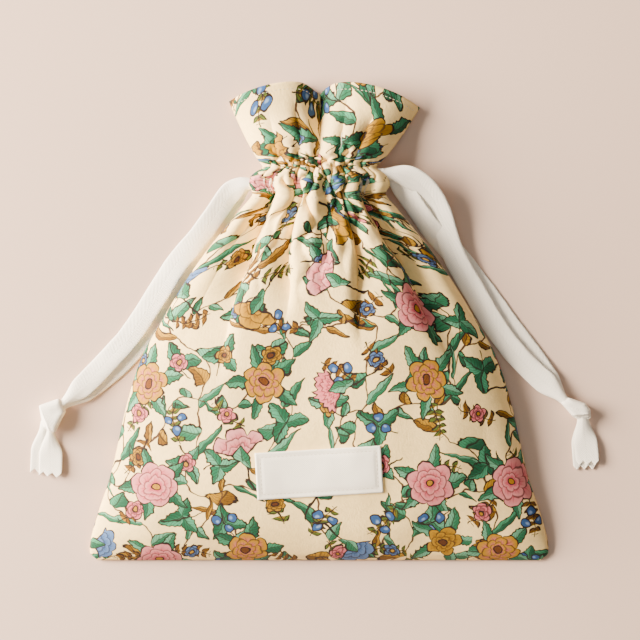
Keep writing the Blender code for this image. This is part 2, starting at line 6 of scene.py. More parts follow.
import bmesh
import bpy
import numpy as np
from bpy.props import FloatProperty, FloatVectorProperty, PointerProperty
from mathutils import Matrix, Vector, noise
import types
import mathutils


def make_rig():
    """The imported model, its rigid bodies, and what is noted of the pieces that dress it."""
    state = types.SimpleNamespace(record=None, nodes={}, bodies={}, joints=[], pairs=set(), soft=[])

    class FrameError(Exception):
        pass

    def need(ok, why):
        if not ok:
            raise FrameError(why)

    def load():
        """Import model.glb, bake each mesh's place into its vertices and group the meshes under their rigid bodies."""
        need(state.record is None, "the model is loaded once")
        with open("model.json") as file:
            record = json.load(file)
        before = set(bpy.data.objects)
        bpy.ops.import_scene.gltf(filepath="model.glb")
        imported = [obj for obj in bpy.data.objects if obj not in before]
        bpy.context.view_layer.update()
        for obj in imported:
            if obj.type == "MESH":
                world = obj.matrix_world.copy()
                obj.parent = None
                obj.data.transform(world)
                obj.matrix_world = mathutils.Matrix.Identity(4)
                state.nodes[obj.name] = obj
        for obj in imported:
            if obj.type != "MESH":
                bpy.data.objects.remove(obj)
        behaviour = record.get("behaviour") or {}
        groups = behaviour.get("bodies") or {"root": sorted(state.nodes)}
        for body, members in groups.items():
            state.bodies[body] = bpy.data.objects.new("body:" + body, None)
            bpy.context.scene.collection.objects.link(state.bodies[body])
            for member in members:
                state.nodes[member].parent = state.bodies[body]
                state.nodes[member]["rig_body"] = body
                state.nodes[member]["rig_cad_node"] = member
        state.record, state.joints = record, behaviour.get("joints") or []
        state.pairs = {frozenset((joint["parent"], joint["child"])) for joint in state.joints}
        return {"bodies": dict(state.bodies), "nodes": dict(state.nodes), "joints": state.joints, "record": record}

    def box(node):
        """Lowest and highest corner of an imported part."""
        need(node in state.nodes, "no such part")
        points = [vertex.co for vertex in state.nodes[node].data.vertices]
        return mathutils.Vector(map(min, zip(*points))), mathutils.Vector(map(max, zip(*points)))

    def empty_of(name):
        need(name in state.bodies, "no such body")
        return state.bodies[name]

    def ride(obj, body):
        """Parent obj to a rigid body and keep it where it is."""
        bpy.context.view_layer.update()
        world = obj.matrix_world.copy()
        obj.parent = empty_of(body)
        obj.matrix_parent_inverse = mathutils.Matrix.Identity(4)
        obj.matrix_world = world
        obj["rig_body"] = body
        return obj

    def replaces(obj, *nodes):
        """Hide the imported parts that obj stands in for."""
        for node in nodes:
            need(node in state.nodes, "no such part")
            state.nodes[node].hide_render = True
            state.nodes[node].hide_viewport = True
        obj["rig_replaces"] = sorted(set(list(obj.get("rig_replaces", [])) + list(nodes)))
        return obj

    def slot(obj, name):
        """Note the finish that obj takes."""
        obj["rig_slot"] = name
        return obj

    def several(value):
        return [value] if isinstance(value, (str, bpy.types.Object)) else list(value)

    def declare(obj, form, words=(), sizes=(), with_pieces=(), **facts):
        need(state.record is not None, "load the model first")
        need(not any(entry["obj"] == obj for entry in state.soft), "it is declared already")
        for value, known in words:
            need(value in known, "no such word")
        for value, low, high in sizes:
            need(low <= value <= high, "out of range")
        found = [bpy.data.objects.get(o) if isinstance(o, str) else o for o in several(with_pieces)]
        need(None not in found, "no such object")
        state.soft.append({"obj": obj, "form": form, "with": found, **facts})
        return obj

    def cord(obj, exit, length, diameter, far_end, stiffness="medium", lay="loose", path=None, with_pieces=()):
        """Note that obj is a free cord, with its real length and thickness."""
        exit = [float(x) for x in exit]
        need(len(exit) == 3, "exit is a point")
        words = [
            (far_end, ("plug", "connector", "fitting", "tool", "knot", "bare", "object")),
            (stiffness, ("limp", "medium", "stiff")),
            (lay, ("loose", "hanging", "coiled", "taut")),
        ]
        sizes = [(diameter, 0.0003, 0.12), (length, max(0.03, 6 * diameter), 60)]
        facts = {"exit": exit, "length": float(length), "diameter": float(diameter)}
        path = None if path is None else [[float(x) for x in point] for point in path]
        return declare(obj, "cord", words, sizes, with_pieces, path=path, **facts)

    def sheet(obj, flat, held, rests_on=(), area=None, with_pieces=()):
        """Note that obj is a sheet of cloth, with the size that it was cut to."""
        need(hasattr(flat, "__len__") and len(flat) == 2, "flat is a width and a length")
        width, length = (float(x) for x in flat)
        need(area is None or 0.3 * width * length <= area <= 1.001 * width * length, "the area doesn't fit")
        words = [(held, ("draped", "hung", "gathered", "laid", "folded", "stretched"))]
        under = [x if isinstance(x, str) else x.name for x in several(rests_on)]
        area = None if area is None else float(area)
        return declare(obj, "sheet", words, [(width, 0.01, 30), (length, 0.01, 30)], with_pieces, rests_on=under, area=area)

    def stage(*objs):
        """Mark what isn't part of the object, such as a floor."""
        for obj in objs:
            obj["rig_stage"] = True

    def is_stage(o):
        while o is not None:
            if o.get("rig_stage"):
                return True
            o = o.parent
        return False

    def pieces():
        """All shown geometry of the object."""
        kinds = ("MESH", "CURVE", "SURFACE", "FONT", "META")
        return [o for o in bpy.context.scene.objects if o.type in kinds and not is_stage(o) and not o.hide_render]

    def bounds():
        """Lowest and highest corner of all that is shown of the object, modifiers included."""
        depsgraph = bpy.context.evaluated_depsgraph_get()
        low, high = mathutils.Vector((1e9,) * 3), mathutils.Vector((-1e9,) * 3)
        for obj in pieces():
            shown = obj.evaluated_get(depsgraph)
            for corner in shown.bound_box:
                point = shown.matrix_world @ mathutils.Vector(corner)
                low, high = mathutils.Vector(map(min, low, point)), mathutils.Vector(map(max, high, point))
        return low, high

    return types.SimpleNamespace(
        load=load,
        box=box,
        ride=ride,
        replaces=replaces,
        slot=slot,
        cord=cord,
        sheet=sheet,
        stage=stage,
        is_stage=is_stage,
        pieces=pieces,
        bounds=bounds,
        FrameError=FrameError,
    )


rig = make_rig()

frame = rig.load()
CAD_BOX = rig.bounds()

bl_info = {
    "name": "Drawstring Pouch",
    "version": (1, 0, 0),
    "blender": (4, 5, 0),
    "location": "View3D > Sidebar > Pouch",
    "description": "Models a gathered cotton pouch with flat drawstring tapes",
    "category": "Object",
}

SIZE_FILE = "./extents.json"

# Sizes of the lying pouch, which the frame's solids share
CLOTH_LOW, CLOTH_HIGH = (Vector(corner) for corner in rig.box("pouch_cloth"))
BODY_WIDTH = CLOTH_HIGH.x - CLOTH_LOW.x
BOTTOM_Y = CLOTH_LOW.y
HEAD_HEIGHT = 0.0380
NECK_Y = CLOTH_HIGH.y - HEAD_HEIGHT
BODY_HEIGHT = NECK_Y - BOTTOM_Y
NECK_WIDTH = 0.0470
LEFT_LOBE_WIDTH = 0.0393
RIGHT_LOBE_WIDTH = 0.0439
NOTCH_DEPTH = 0.0105
LEFT_CORNER_DROP = 0.0087
RIGHT_CORNER_DROP = 0.0114
EAR_REACH = 0.0053
EAR_ROW = 0.9700
EAR_SPREAD = 0.0275
BODY_THICKNESS = 0.0260
FOLD_THICKNESS = 0.0028
SEAM_HEIGHT = 0.0030
NECK_THICKNESS = 0.0200
HEAD_THICKNESS = 0.0125
NECK_MIDDLE = NECK_THICKNESS / 2
FLAT_SHARE = 0.72
CLEARANCE = 0.0003
BACK_STRIDE = 4

BODY_OUTLINE = (
    (0.000, 0.955), (0.020, 1.000), (0.090, 0.975), (0.220, 0.880), (0.400, 0.788), (0.520, 0.703),
    (0.600, 0.606), (0.710, 0.458), (0.800, 0.316), (0.895, 0.140), (0.950, 0.040), (1.000, 0.000),
)
BODY_CROWN = (
    (0.000, 0.060), (0.020, 0.240), (0.090, 0.520), (0.260, 0.760), (0.500, 0.900), (0.730, 0.990),
    (0.860, 1.000), (0.930, 0.900), (1.000, 0.770),
)
# Big folds of the front: place at the neck and at the foot, left and right spread, depth, reach down
FOLDS = (
    (-0.82, -0.86, 0.060, 0.050, 0.0026, 0.34),
    (-0.70, -0.71, 0.050, 0.040, 0.0024, 0.20),
    (-0.55, -0.545, 0.170, 0.020, 0.0140, 0.58),
    (-0.38, -0.40, 0.050, 0.036, 0.0042, 0.24),
    (-0.20, -0.215, 0.090, 0.016, 0.0108, 0.42),
    (0.03, 0.06, 0.018, 0.060, 0.0086, 0.28),
    (0.17, 0.145, 0.024, 0.040, 0.0034, 0.20),
    (0.31, 0.230, 0.016, 0.085, 0.0118, 0.48),
    (0.49, 0.760, 0.017, 0.170, 0.0160, 0.54),
    (0.68, 0.850, 0.040, 0.060, 0.0030, 0.30),
)
# Creases between the casing's lower stitches and its middle: place across, depth, spread, lean
LOWER_GATHERS = (
    (-0.90, 0.0016, 0.026, 0.02), (-0.76, 0.0026, 0.030, -0.03), (-0.60, 0.0044, 0.034, 0.02),
    (-0.46, 0.0036, 0.026, 0.04), (-0.35, 0.0026, 0.020, -0.03), (-0.24, 0.0048, 0.032, 0.02),
    (-0.11, 0.0034, 0.024, 0.04), (0.03, 0.0056, 0.034, -0.02), (0.12, 0.0026, 0.018, 0.03),
    (0.21, 0.0042, 0.026, 0.02), (0.32, 0.0050, 0.030, -0.02), (0.44, 0.0044, 0.028, 0.03),
    (0.55, 0.0028, 0.020, 0.02), (0.67, 0.0046, 0.032, -0.03), (0.82, 0.0024, 0.030, 0.02),
)
# Creases between the casing's middle and the head: the same, and the climb at which they fade
UPPER_GATHERS = (
    (-0.93, 0.0014, 0.026, 0.01, 0.10), (-0.82, 0.0024, 0.022, -0.03, 0.16),
    (-0.70, 0.0040, 0.030, 0.03, 0.34), (-0.56, 0.0038, 0.028, -0.02, 0.22),
    (-0.45, 0.0030, 0.020, 0.03, 0.18), (-0.33, 0.0046, 0.034, 0.02, 0.46),
    (-0.19, 0.0034, 0.024, -0.03, 0.24), (-0.06, 0.0044, 0.028, 0.03, 0.30),
    (0.08, 0.0042, 0.028, -0.03, 0.22), (0.18, 0.0030, 0.020, 0.04, 0.20),
    (0.28, 0.0042, 0.028, 0.02, 0.26), (0.41, 0.0046, 0.030, -0.02, 0.36),
    (0.51, 0.0030, 0.020, 0.03, 0.18), (0.72, 0.0038, 0.028, -0.02, 0.16),
    (0.85, 0.0022, 0.026, 0.02, 0.12),
)
# Folds of the frilled head: place, left and right spread, depth, climb at which they fade
HEAD_FOLDS = (
    (-0.62, 0.10, 0.06, 0.0016, 0.80), (-0.30, 0.05, 0.12, 0.0030, 0.85), (0.00, 0.035, 0.075, 0.0090, 4.0),
    (0.62, 0.13, 0.030, 0.0064, 0.74), (0.30, 0.10, 0.08, 0.0018, 1.30),
)

# Routes of the free strands, in metres: across, along, height of the tape's middle, roll in degrees
EXIT_REACH = 0.0268
LEFT_ALONG = 0.0589
RIGHT_ALONG = 0.0636
STRAND_RISE = 0.0010
LEFT_UPPER_ROUTE = (
    (-0.0328, 0.0589, 0.0107, 4), (-0.0382, 0.0554, 0.0090, 12), (-0.0434, 0.0483, 0.0069, 14),
    (-0.0494, 0.0398, 0.0048, 12), (-0.0546, 0.0325, 0.0033, 8), (-0.0592, 0.0260, 0.0024, 4),
    (-0.0652, 0.0168, 0.0019, 0), (-0.0710, 0.0080, 0.0017, 0), (-0.0768, -0.0007, 0.0017, 0),
    (-0.0830, -0.0092, 0.0017, 0), (-0.0897, -0.0168, 0.0018, 0), (-0.0963, -0.0234, 0.0023, 0),
    (-0.1030, -0.0293, 0.0033, 0), (-0.1109, -0.0358, 0.0045, 0), (-0.1150, -0.0392, 0.0046, 0),
)
LEFT_LOWER_ROUTE = (
    (-0.0322, 0.0584, 0.0086, 6), (-0.0372, 0.0536, 0.0069, 18), (-0.0416, 0.0466, 0.0048, 20),
    (-0.0478, 0.0386, 0.0031, 16), (-0.0536, 0.0310, 0.0018, 8), (-0.0586, 0.0244, 0.0010, 2),
    (-0.0648, 0.0154, 0.0006, 0), (-0.0706, 0.0070, 0.0005, 0), (-0.0764, -0.0016, 0.0005, 0),
    (-0.0826, -0.0100, 0.0005, 0), (-0.0893, -0.0176, 0.0006, 0), (-0.0959, -0.0242, 0.0009, 0),
    (-0.1026, -0.0302, 0.0019, 0), (-0.1107, -0.0366, 0.0032, 0), (-0.1148, -0.0398, 0.0034, 0),
)
RIGHT_UPPER_ROUTE = (
    (0.0322, 0.0635, 0.0109, 0), (0.0370, 0.0628, 0.0106, -8), (0.0420, 0.0606, 0.0098, -14),
    (0.0468, 0.0566, 0.0084, -18), (0.0509, 0.0506, 0.0066, -18), (0.0544, 0.0430, 0.0050, -14),
    (0.0576, 0.0352, 0.0037, -8), (0.0612, 0.0280, 0.0027, -4), (0.0654, 0.0206, 0.0021, 0),
    (0.0702, 0.0128, 0.0018, 0), (0.0754, 0.0038, 0.0017, 0), (0.0808, -0.0046, 0.0017, 0),
    (0.0864, -0.0120, 0.0018, 0), (0.0923, -0.0192, 0.0023, 0), (0.0986, -0.0262, 0.0033, 0),
    (0.1062, -0.0340, 0.0045, 0), (0.1104, -0.0380, 0.0046, 0),
)
RIGHT_LOWER_ROUTE = (
    (0.0314, 0.0626, 0.0086, -6), (0.0358, 0.0580, 0.0074, -20), (0.0402, 0.0516, 0.0060, -28),
    (0.0449, 0.0449, 0.0046, -30), (0.0500, 0.0377, 0.0032, -24), (0.0552, 0.0306, 0.0018, -12),
    (0.0606, 0.0234, 0.0009, -2), (0.0660, 0.0164, 0.0006, 0), (0.0714, 0.0094, 0.0005, 0),
    (0.0766, 0.0022, 0.0005, 0), (0.0820, -0.0050, 0.0005, 0), (0.0876, -0.0122, 0.0006, 0),
    (0.0936, -0.0196, 0.0009, 0), (0.0994, -0.0266, 0.0019, 0), (0.1068, -0.0348, 0.0032, 0),
    (0.1106, -0.0384, 0.0034, 0),
)
# Knots seen from above: the corners of the wrapped part, and each tail's root, end and width at its root
LEFT_KNOT = (
    (-0.1221, -0.0370), (-0.1130, -0.0338), (-0.1103, -0.0397), (-0.1150, -0.0488), (-0.1176, -0.0482),
    (-0.1202, -0.0470),
)
LEFT_TAILS = (
    ((-0.1189, -0.0440), (-0.1216, -0.0668), 0.0042), ((-0.1165, -0.0450), (-0.1178, -0.0682), 0.0034),
)
RIGHT_KNOT = (
    (0.1051, -0.0357), (0.1082, -0.0334), (0.1160, -0.0360), (0.1183, -0.0390), (0.1184, -0.0426),
    (0.1127, -0.0430), (0.1108, -0.0422),
)
RIGHT_TAILS = (
    ((0.1155, -0.0400), (0.1155, -0.0652), 0.0050), ((0.1155, -0.0398), (0.1166, -0.0632), 0.0050),
)
# Edges of the wraps: a point on the edge, its direction, how far the tape beyond it lies lower, its softness
LEFT_LEDGES = (
    ((-0.1217, -0.0380), (0.0043, -0.0106), 0.0016, 0.00035),
    ((-0.1128, -0.0345), (0.0030, -0.0055), -0.0006, 0.0003),
)
RIGHT_LEDGES = (
    ((0.1127, -0.0414), (1.0, 0.06), 0.0014, 0.00035), ((0.1066, -0.0345), (-0.6, -0.8), 0.0006, 0.0003),
)
# The wrapped part, its tails and the teeth of their pinked ends, by side
KNOTS = {
    "left": (LEFT_KNOT, LEFT_TAILS, LEFT_LEDGES, 2.5),
    "right": (RIGHT_KNOT, RIGHT_TAILS, RIGHT_LEDGES, 3.0),
}
# Free strands: side, layer, route, and how far each slides aside, lifts and rolls where its bundle spreads
STRANDS = (
    ("left", "upper", LEFT_UPPER_ROUTE, 0.0014, 0.0008, -7),
    ("left", "lower", LEFT_LOWER_ROUTE, -0.0022, 0.0, 0),
    ("right", "upper", RIGHT_UPPER_ROUTE, 0.0022, 0.0006, -5),
    ("right", "lower", RIGHT_LOWER_ROUTE, -0.0024, 0.0, 0),
)
KNOT_HEIGHT = 0.0064
KNOT_TURNS = 96
KNOT_RINGS = 30
TAIL_STEPS = 34
PINK_DEPTH = 0.0020
TAPE_WIDTH = 0.010
TAPE_THICKNESS = 0.0007
TAPE_RIB = 0.0011
CASED_TAPE_WIDTH = 0.0044
STRAND_SPACING = 0.0009
STRAND_SPREAD = 0.0140
KNOT_SHARE = 0.36
GROUND_GAP = 0.0001

# Depth, width and seed of the soft dents in the body
DENTS = ((0.0022, 0.044, 3.0), (0.00055, 0.016, 7.0))
# How far the walls of folds and of gathers lean, and how readily
FOLD_SLUMP = (0.0024, 0.0010)
GATHER_SLUMP = (0.0006, 0.0007)
PLEAT_DEPTH = 0.0032
# Least height of the front, and how much higher it stays over the tapes in the casing
CREASE_FLOOR = 0.0022
TAPE_COVER = 0.0121
BACK_COLUMNS = 61
WEAVE_PITCH = 0.0009

LABEL_WIDTH = 0.0543
LABEL_HEIGHT = 0.0203
LABEL_MIDDLE_Y = BOTTOM_Y + 0.0391
LABEL_TILT = math.radians(3.5)
LABEL_STITCH_INSET = 0.0021
LABEL_THREAD_SINK = 0.00014

# Seams across the front: name, how far they reach to each side, row
SEAMS = (
    ("hem_stitches", 0.985, 2 - 0.085),
    ("casing_upper_stitches", 0.94, 1.03),
    ("casing_lower_stitches", 0.94, 0.922),
)
SEAM_STEPS = 2400
THREAD_RADIUS = 0.00013
LABEL_THREAD_RADIUS = 0.00014

# Lights: name, place, size, share of the key light's power, colour
LIGHTS = (
    ("key", (-1.26, 0.28, 0.49), 1.00, 1.0, "#FFF0DF"),
    ("sky", (0.10, -0.05, 1.50), 1.60, 0.035, "#FFF8F0"),
)


def as_linear(text):
    """Linear colour, with alpha, from an sRGB hex value."""
    channels = [int(text[i:i + 2], 16) / 255 for i in (1, 3, 5)]
    linear = [c / 12.92 if c <= 0.04045 else ((c + 0.055) / 1.055) ** 2.4 for c in channels]
    return (*linear, 1.0)


def length_setting(name, description, default):
    """A length that a user can change."""
    return FloatProperty(name=name, description=description, default=default, unit="LENGTH")


def colour_setting(name, description, text):
    """A colour that a user can change."""
    return FloatVectorProperty(name=name, description=description, subtype="COLOR", size=4, min=0.0, max=1.0,
                               default=as_linear(text))


class PouchClothSettings(bpy.types.PropertyGroup):
    """What a user would change on the cloth and its print."""

    wall: length_setting("Cloth thickness", "Thickness of the cotton", 0.00045)
    flower_spacing: length_setting("Flower spacing", "Distance between large flowers", 0.038)
    ground: colour_setting("Ground", "Colour of the cloth between the motifs", "#FDDD94")
    ink: colour_setting("Outline", "Colour of the print's drawn lines", "#20130F")
    label_thickness: length_setting("Label thickness", "Thickness of the label's cotton", 0.0004)


class PouchTapeSettings(bpy.types.PropertyGroup):
    """What a user would change on the drawstrings and threads."""

    width: length_setting("Tape width", "Width of the herringbone tape", TAPE_WIDTH)
    colour: colour_setting("Tape colour", "Colour of the undyed tape", "#FFF8E8")
    stitch_length: length_setting("Stitch length", "Length of one stitch on the surface", 0.0011)
    stitch_pitch: length_setting("Stitch pitch", "Distance from stitch to stitch", 0.0018)


class PouchStageSettings(bpy.types.PropertyGroup):
    """What a user would change on the stage."""

    floor: colour_setting("Floor", "Colour of the plain floor", "#D3B7A3")
    key_power: FloatProperty(name="Key light", description="Power of the large soft light", default=208.0,
                             subtype="POWER")
    fill_strength: FloatProperty(name="Fill", description="Strength of the even light all round",
                                 default=0.17)
    camera_height: length_setting("Camera height", "Height of the camera over the pouch", 1.30)
    view_width: length_setting("View width", "Width of ground in the picture", 0.2795)


OPERATIONS = {ast.Add: "ADD", ast.Sub: "SUBTRACT", ast.Mult: "MULTIPLY", ast.Div: "DIVIDE", ast.Pow: "POWER"}
FUNCTIONS = {"sin": "SINE", "cos": "COSINE", "abs": "ABSOLUTE", "low": "MINIMUM", "high": "MAXIMUM",
             "turn": "ARCTAN2", "root": "SQRT", "floor": "FLOOR", "near": "ROUND", "under": "LESS_THAN",
             "over": "GREATER_THAN", "wave": "PINGPONG"}


def add_node(tree, kind, inputs=(), **settings):
    """Adds a node with its settings, and links or sets its inputs."""
    node = tree.nodes.new(kind)
    for name, value in settings.items():
        setattr(node, name, value)
    for key, value in dict(inputs).items():
        if isinstance(value, bpy.types.NodeSocket):
            tree.links.new(value, node.inputs[key])
        else:
            node.inputs[key].default_value = value
    return node


def formula(tree, text, **values):
    """Turns lines of arithmetic into nodes. step(a, b, x) climbs smoothly from 0 at a to 1 at b."""

    def build(part):
        if isinstance(part, ast.Constant):
            return float(part.value)
        if isinstance(part, ast.Name):
            return values[part.id]
        if isinstance(part, ast.UnaryOp):
            return build(ast.BinOp(ast.Constant(0.0), ast.Sub(), part.operand))
        if isinstance(part, ast.BinOp):
            sides = [build(part.left), build(part.right)]
            kind = OPERATIONS[type(part.op)]
            return add_node(tree, "ShaderNodeMath", enumerate(sides), operation=kind).outputs[0]
        sides = [build(side) for side in part.args]
        if part.func.id == "step":
            inputs = {"Value": sides[2], "From Min": sides[0], "From Max": sides[1]}
            return add_node(tree, "ShaderNodeMapRange", inputs, interpolation_type="SMOOTHSTEP").outputs[0]
        kind = FUNCTIONS[part.func.id]
        return add_node(tree, "ShaderNodeMath", enumerate(sides), operation=kind).outputs[0]

    for line in ast.parse(text).body:
        values[line.targets[0].id] = build(line.value)
    return values


def paint(tree, under, colour, mask):
    """Lays a colour over another where the mask is 1."""
    return add_node(tree, "ShaderNodeMix", {0: mask, 6: under, 7: colour}, data_type="RGBA").outputs[2]


def shade_by(tree, colour, tone):
    """Darkens a colour by a grey tone, 1 leaving it as it is."""
    grey = add_node(tree, "ShaderNodeCombineColor", {i: tone for i in range(3)})
    return add_node(tree, "ShaderNodeMix", {0: 1.0, 6: colour, 7: grey.outputs[0]}, data_type="RGBA",
                    blend_type="MULTIPLY").outputs[2]


def cell_motifs(tree, across, along, spacing, scatter):
    """Splits the cloth into scattered cells: each has its own local frame and three random numbers."""
    spot = add_node(tree, "ShaderNodeCombineXYZ", {0: across, 1: along})
    cells = add_node(tree, "ShaderNodeTexVoronoi", {"Vector": spot.outputs[0], "Scale": 1 / spacing,
                                                    "Randomness": scatter}, voronoi_dimensions="2D")
    middle = add_node(tree, "ShaderNodeSeparateXYZ", {0: cells.outputs["Position"]})
    dice = add_node(tree, "ShaderNodeSeparateColor", {0: cells.outputs["Color"]})
    return formula(tree, """
dx = across - mx
dy = along - my
spin = first * 6.283
c = cos(spin)
s = sin(spin)
x = dx * c + dy * s
y = dy * c - dx * s
r = root(x * x + y * y)
a = turn(y, x)
""", across=across, along=along, mx=middle.outputs[0], my=middle.outputs[1], first=dice.outputs[0],
                   second=dice.outputs[1], third=dice.outputs[2])


def pick(tree, dice, table):
    """Chooses one row of a table by a random number: its numbers and its colours, each as a socket."""
    chosen = []
    for column in zip(*table):
        drawn = isinstance(column[0], str)
        value = as_linear(column[0]) if drawn else column[0]
        for i in range(1, len(column)):
            if column[i] == column[i - 1]:
                continue
            past = formula(tree, "m = over(dice, edge)", dice=dice, edge=i / len(table))["m"]
            if drawn:
                value = paint(tree, value, as_linear(column[i]), past)
            else:
                value = formula(tree, "m = value + change * past", value=value, past=past,
                                change=column[i] - column[i - 1])["m"]
        chosen.append(value)
    return chosen


def flower(tree, under, cell, chosen, form, colours, ink):
    """A full flower of three rings. form is petals, radius, scallop, teeth, tooth depth and heart."""
    petals, radius, scallop, teeth, tooth, heart = form
    light, middle, dark, eye = colours
    colour = under
    for size, turned, line in ((1.0, 0.0, 1.0), (0.70, 1.0, 0.75), (0.43, 0.4, 0.6)):
        ring = formula(tree, """
shift = 3.1416 / petals * turned
lobe = abs(cos((a + shift) * petals / 2))
reach = radius * size
edge = reach * (1 - scallop + scallop * root(lobe)) + tooth * wave(a * teeth / 3.1416 + shift, 1) - r
inside = step(-0.0001, 0.0001, edge) * chosen
rim = step(0.00046, 0.00018, abs(edge)) * chosen * line
depth = edge / reach
seam = step(0.24, 0.0, lobe) * step(0.0, 0.2, depth) * 0.7
hatch = step(0.45, 0.95, sin(a * petals * 4)) * step(0.06, 0.4, depth) * 0.5
shade = high(seam, hatch)
glow = step(0.55, 0.05, depth)
""", petals=petals, radius=radius, scallop=scallop, teeth=teeth, tooth=tooth, chosen=chosen, r=cell["r"],
                       a=cell["a"], size=size, turned=turned, line=line)
        petal = paint(tree, paint(tree, middle, light, ring["glow"]), dark, ring["shade"])
        colour = paint(tree, colour, petal, ring["inside"])
        colour = paint(tree, colour, ink, ring["rim"])
    centre = formula(tree, """
dots = step(0.1, 0.8, sin(a * 9) * sin(r * 5200))
inside = step(heart + 0.0001, heart - 0.0001, r) * chosen
rim = step(0.00044, 0.00018, abs(r - heart)) * chosen
m = high(rim, inside * dots * 0.6)
""", heart=heart, chosen=chosen, r=cell["r"], a=cell["a"])
    colour = paint(tree, colour, eye, centre["inside"])
    return paint(tree, colour, ink, centre["m"])


def leaf(tree, under, along, across, chosen, size, colours, ink):
    """A pointed leaf with a midrib and slanting veins. size is its length, width and depth of cut."""
    length, width, saw = size
    light, dark = colours
    shape = formula(tree, """
share = high(low(along / length, 1), 0)
cut = 1 - saw * wave(along * 900, 1)
half = width * root(share) * (1 - share) * 2.3 * cut * over(along, 0) * under(along, length)
side = abs(across)
edge = half - side
there = chosen * over(half, 0.00004)
inside = step(-0.0001, 0.0001, edge) * there
rim = step(0.00042, 0.00018, abs(edge)) * there
rib = step(0.00030, 0.00010, side) * inside * 0.85
vein = step(0.55, 0.95, sin((along - side * 1.2) * 3600)) * inside * 0.55
tone = step(-0.30, 0.40, across / width)
m = high(rim, high(rib, vein))
""", along=along, across=across, chosen=chosen, length=length, width=width, saw=saw)
    colour = paint(tree, under, paint(tree, dark, light, shape["tone"]), shape["inside"])
    return paint(tree, colour, ink, shape["m"])


def printed_group(cloth):
    """The print as a node group: cloth coordinates in metres in, colour out."""
    tree = bpy.data.node_groups.new("meadow_print", "ShaderNodeTree")
    tree.interface.new_socket("Cloth", in_out="INPUT", socket_type="NodeSocketVector")
    tree.interface.new_socket("Color", in_out="OUTPUT", socket_type="NodeSocketColor")
    entry = add_node(tree, "NodeGroupInput")
    leave = add_node(tree, "NodeGroupOutput")
    ink = tuple(cloth.ink)
    # A hand-drawn line is never true, so every motif is bent a little by slow and quick noise
    wobble = add_node(tree, "ShaderNodeTexNoise", {"Vector": entry.outputs[0], "Scale": 110.0,
                                                   "Detail": 2.0}, noise_dimensions="2D")
    bent = add_node(tree, "ShaderNodeSeparateColor", {0: wobble.outputs["Color"]})
    flat = add_node(tree, "ShaderNodeSeparateXYZ", {0: entry.outputs[0]})
    spot = formula(tree, """
across = flat_x + (bend_x - 0.5) * 0.0044
along = flat_y + (bend_y - 0.5) * 0.0044
""", flat_x=flat.outputs[0], flat_y=flat.outputs[1], bend_x=bent.outputs[0], bend_y=bent.outputs[1])
    colour = tuple(cloth.ground)
    colour = vines(tree, colour, spot, VINES[0], ink)
    colour = vines(tree, colour, spot, VINES[1], ink)
    colour = scattered_sprigs(tree, colour, spot, ink)
    colour = large_flowers(tree, colour, spot, cloth.flower_spacing, ink)
    # Ink soaks unevenly into the weave, so the fills are mottled as in a watercolour
    wash = add_node(tree, "ShaderNodeTexNoise", {"Vector": entry.outputs[0], "Scale": 420.0, "Detail": 2.0},
                    noise_dimensions="2D")
    soak = formula(tree, "m = 0.90 + wash * 0.20", wash=wash.outputs["Fac"])["m"]
    tree.links.new(shade_by(tree, colour, soak), leave.inputs[0])
    return tree


# Turn, distance between stems, sway, waviness, distance between leaves, leaf length and width
VINES = (
    (0.22, 0.037, 0.0080, 84.0, 0.0104, 0.0118, 0.0032),
    (-1.02, 0.044, 0.0070, 96.0, 0.0062, 0.0072, 0.0020),
)
# Petals, radius, scallop, teeth, tooth depth, heart, 1 if seen from the side, and the light, middle, dark and
# heart colour
LARGE_FLOWERS = (
    (6, 0.0106, 0.26, 2, 0.0, 0.0017, 0, "#D1817F", "#BD4A57", "#851D2E", "#A87500"),
    (5, 0.0118, 0.34, 2, 0.0, 0.0019, 1, "#A67800", "#815600", "#472900", "#B68822"),
    (8, 0.0100, 0.10, 24, 0.0014, 0.0022, 1, "#CE7072", "#B53D4E", "#7A1A31", "#AB7C00"),
    (6, 0.0092, 0.32, 2, 0.0, 0.0019, 0, "#AB7C00", "#B95A63", "#732814", "#623400"),
    (9, 0.0104, 0.22, 9, 0.0004, 0.0020, 1, "#55719B", "#264976", "#0F2649", "#AB7C00"),
    (5, 0.0080, 0.40, 2, 0.0, 0.0019, 0, "#A17500", "#7C5200", "#432700", "#522904"),
    (7, 0.0122, 0.24, 14, 0.0006, 0.0018, 1, "#D58C88", "#BC4C58", "#821E2F", "#936000"),
)
# Petals, radius, scallop, and the same colours
SMALL_FLOWERS = (
    (5, 0.0042, 0.36, "#CE7072", "#B3414F", "#7E1C2E", "#A87500"),
    (5, 0.0036, 0.40, "#4F6B95", "#264775", "#0F2649", "#B2851D"),
    (6, 0.0040, 0.34, "#A67800", "#7C5200", "#432700", "#522904"),
)
# Length, width and cut of the leaves of a sprig, and their light and dark colour
SPRIG_LEAVES = (
    (0.0104, 0.0038, 0.20, "#3E8B65", "#0E5033"),
    (0.0054, 0.0016, 0.00, "#A87600", "#6E4600"),
    (0.0094, 0.0034, 0.16, "#569974", "#185F3F"),
    (0.0052, 0.0015, 0.00, "#927205", "#4E5F1C"),
)


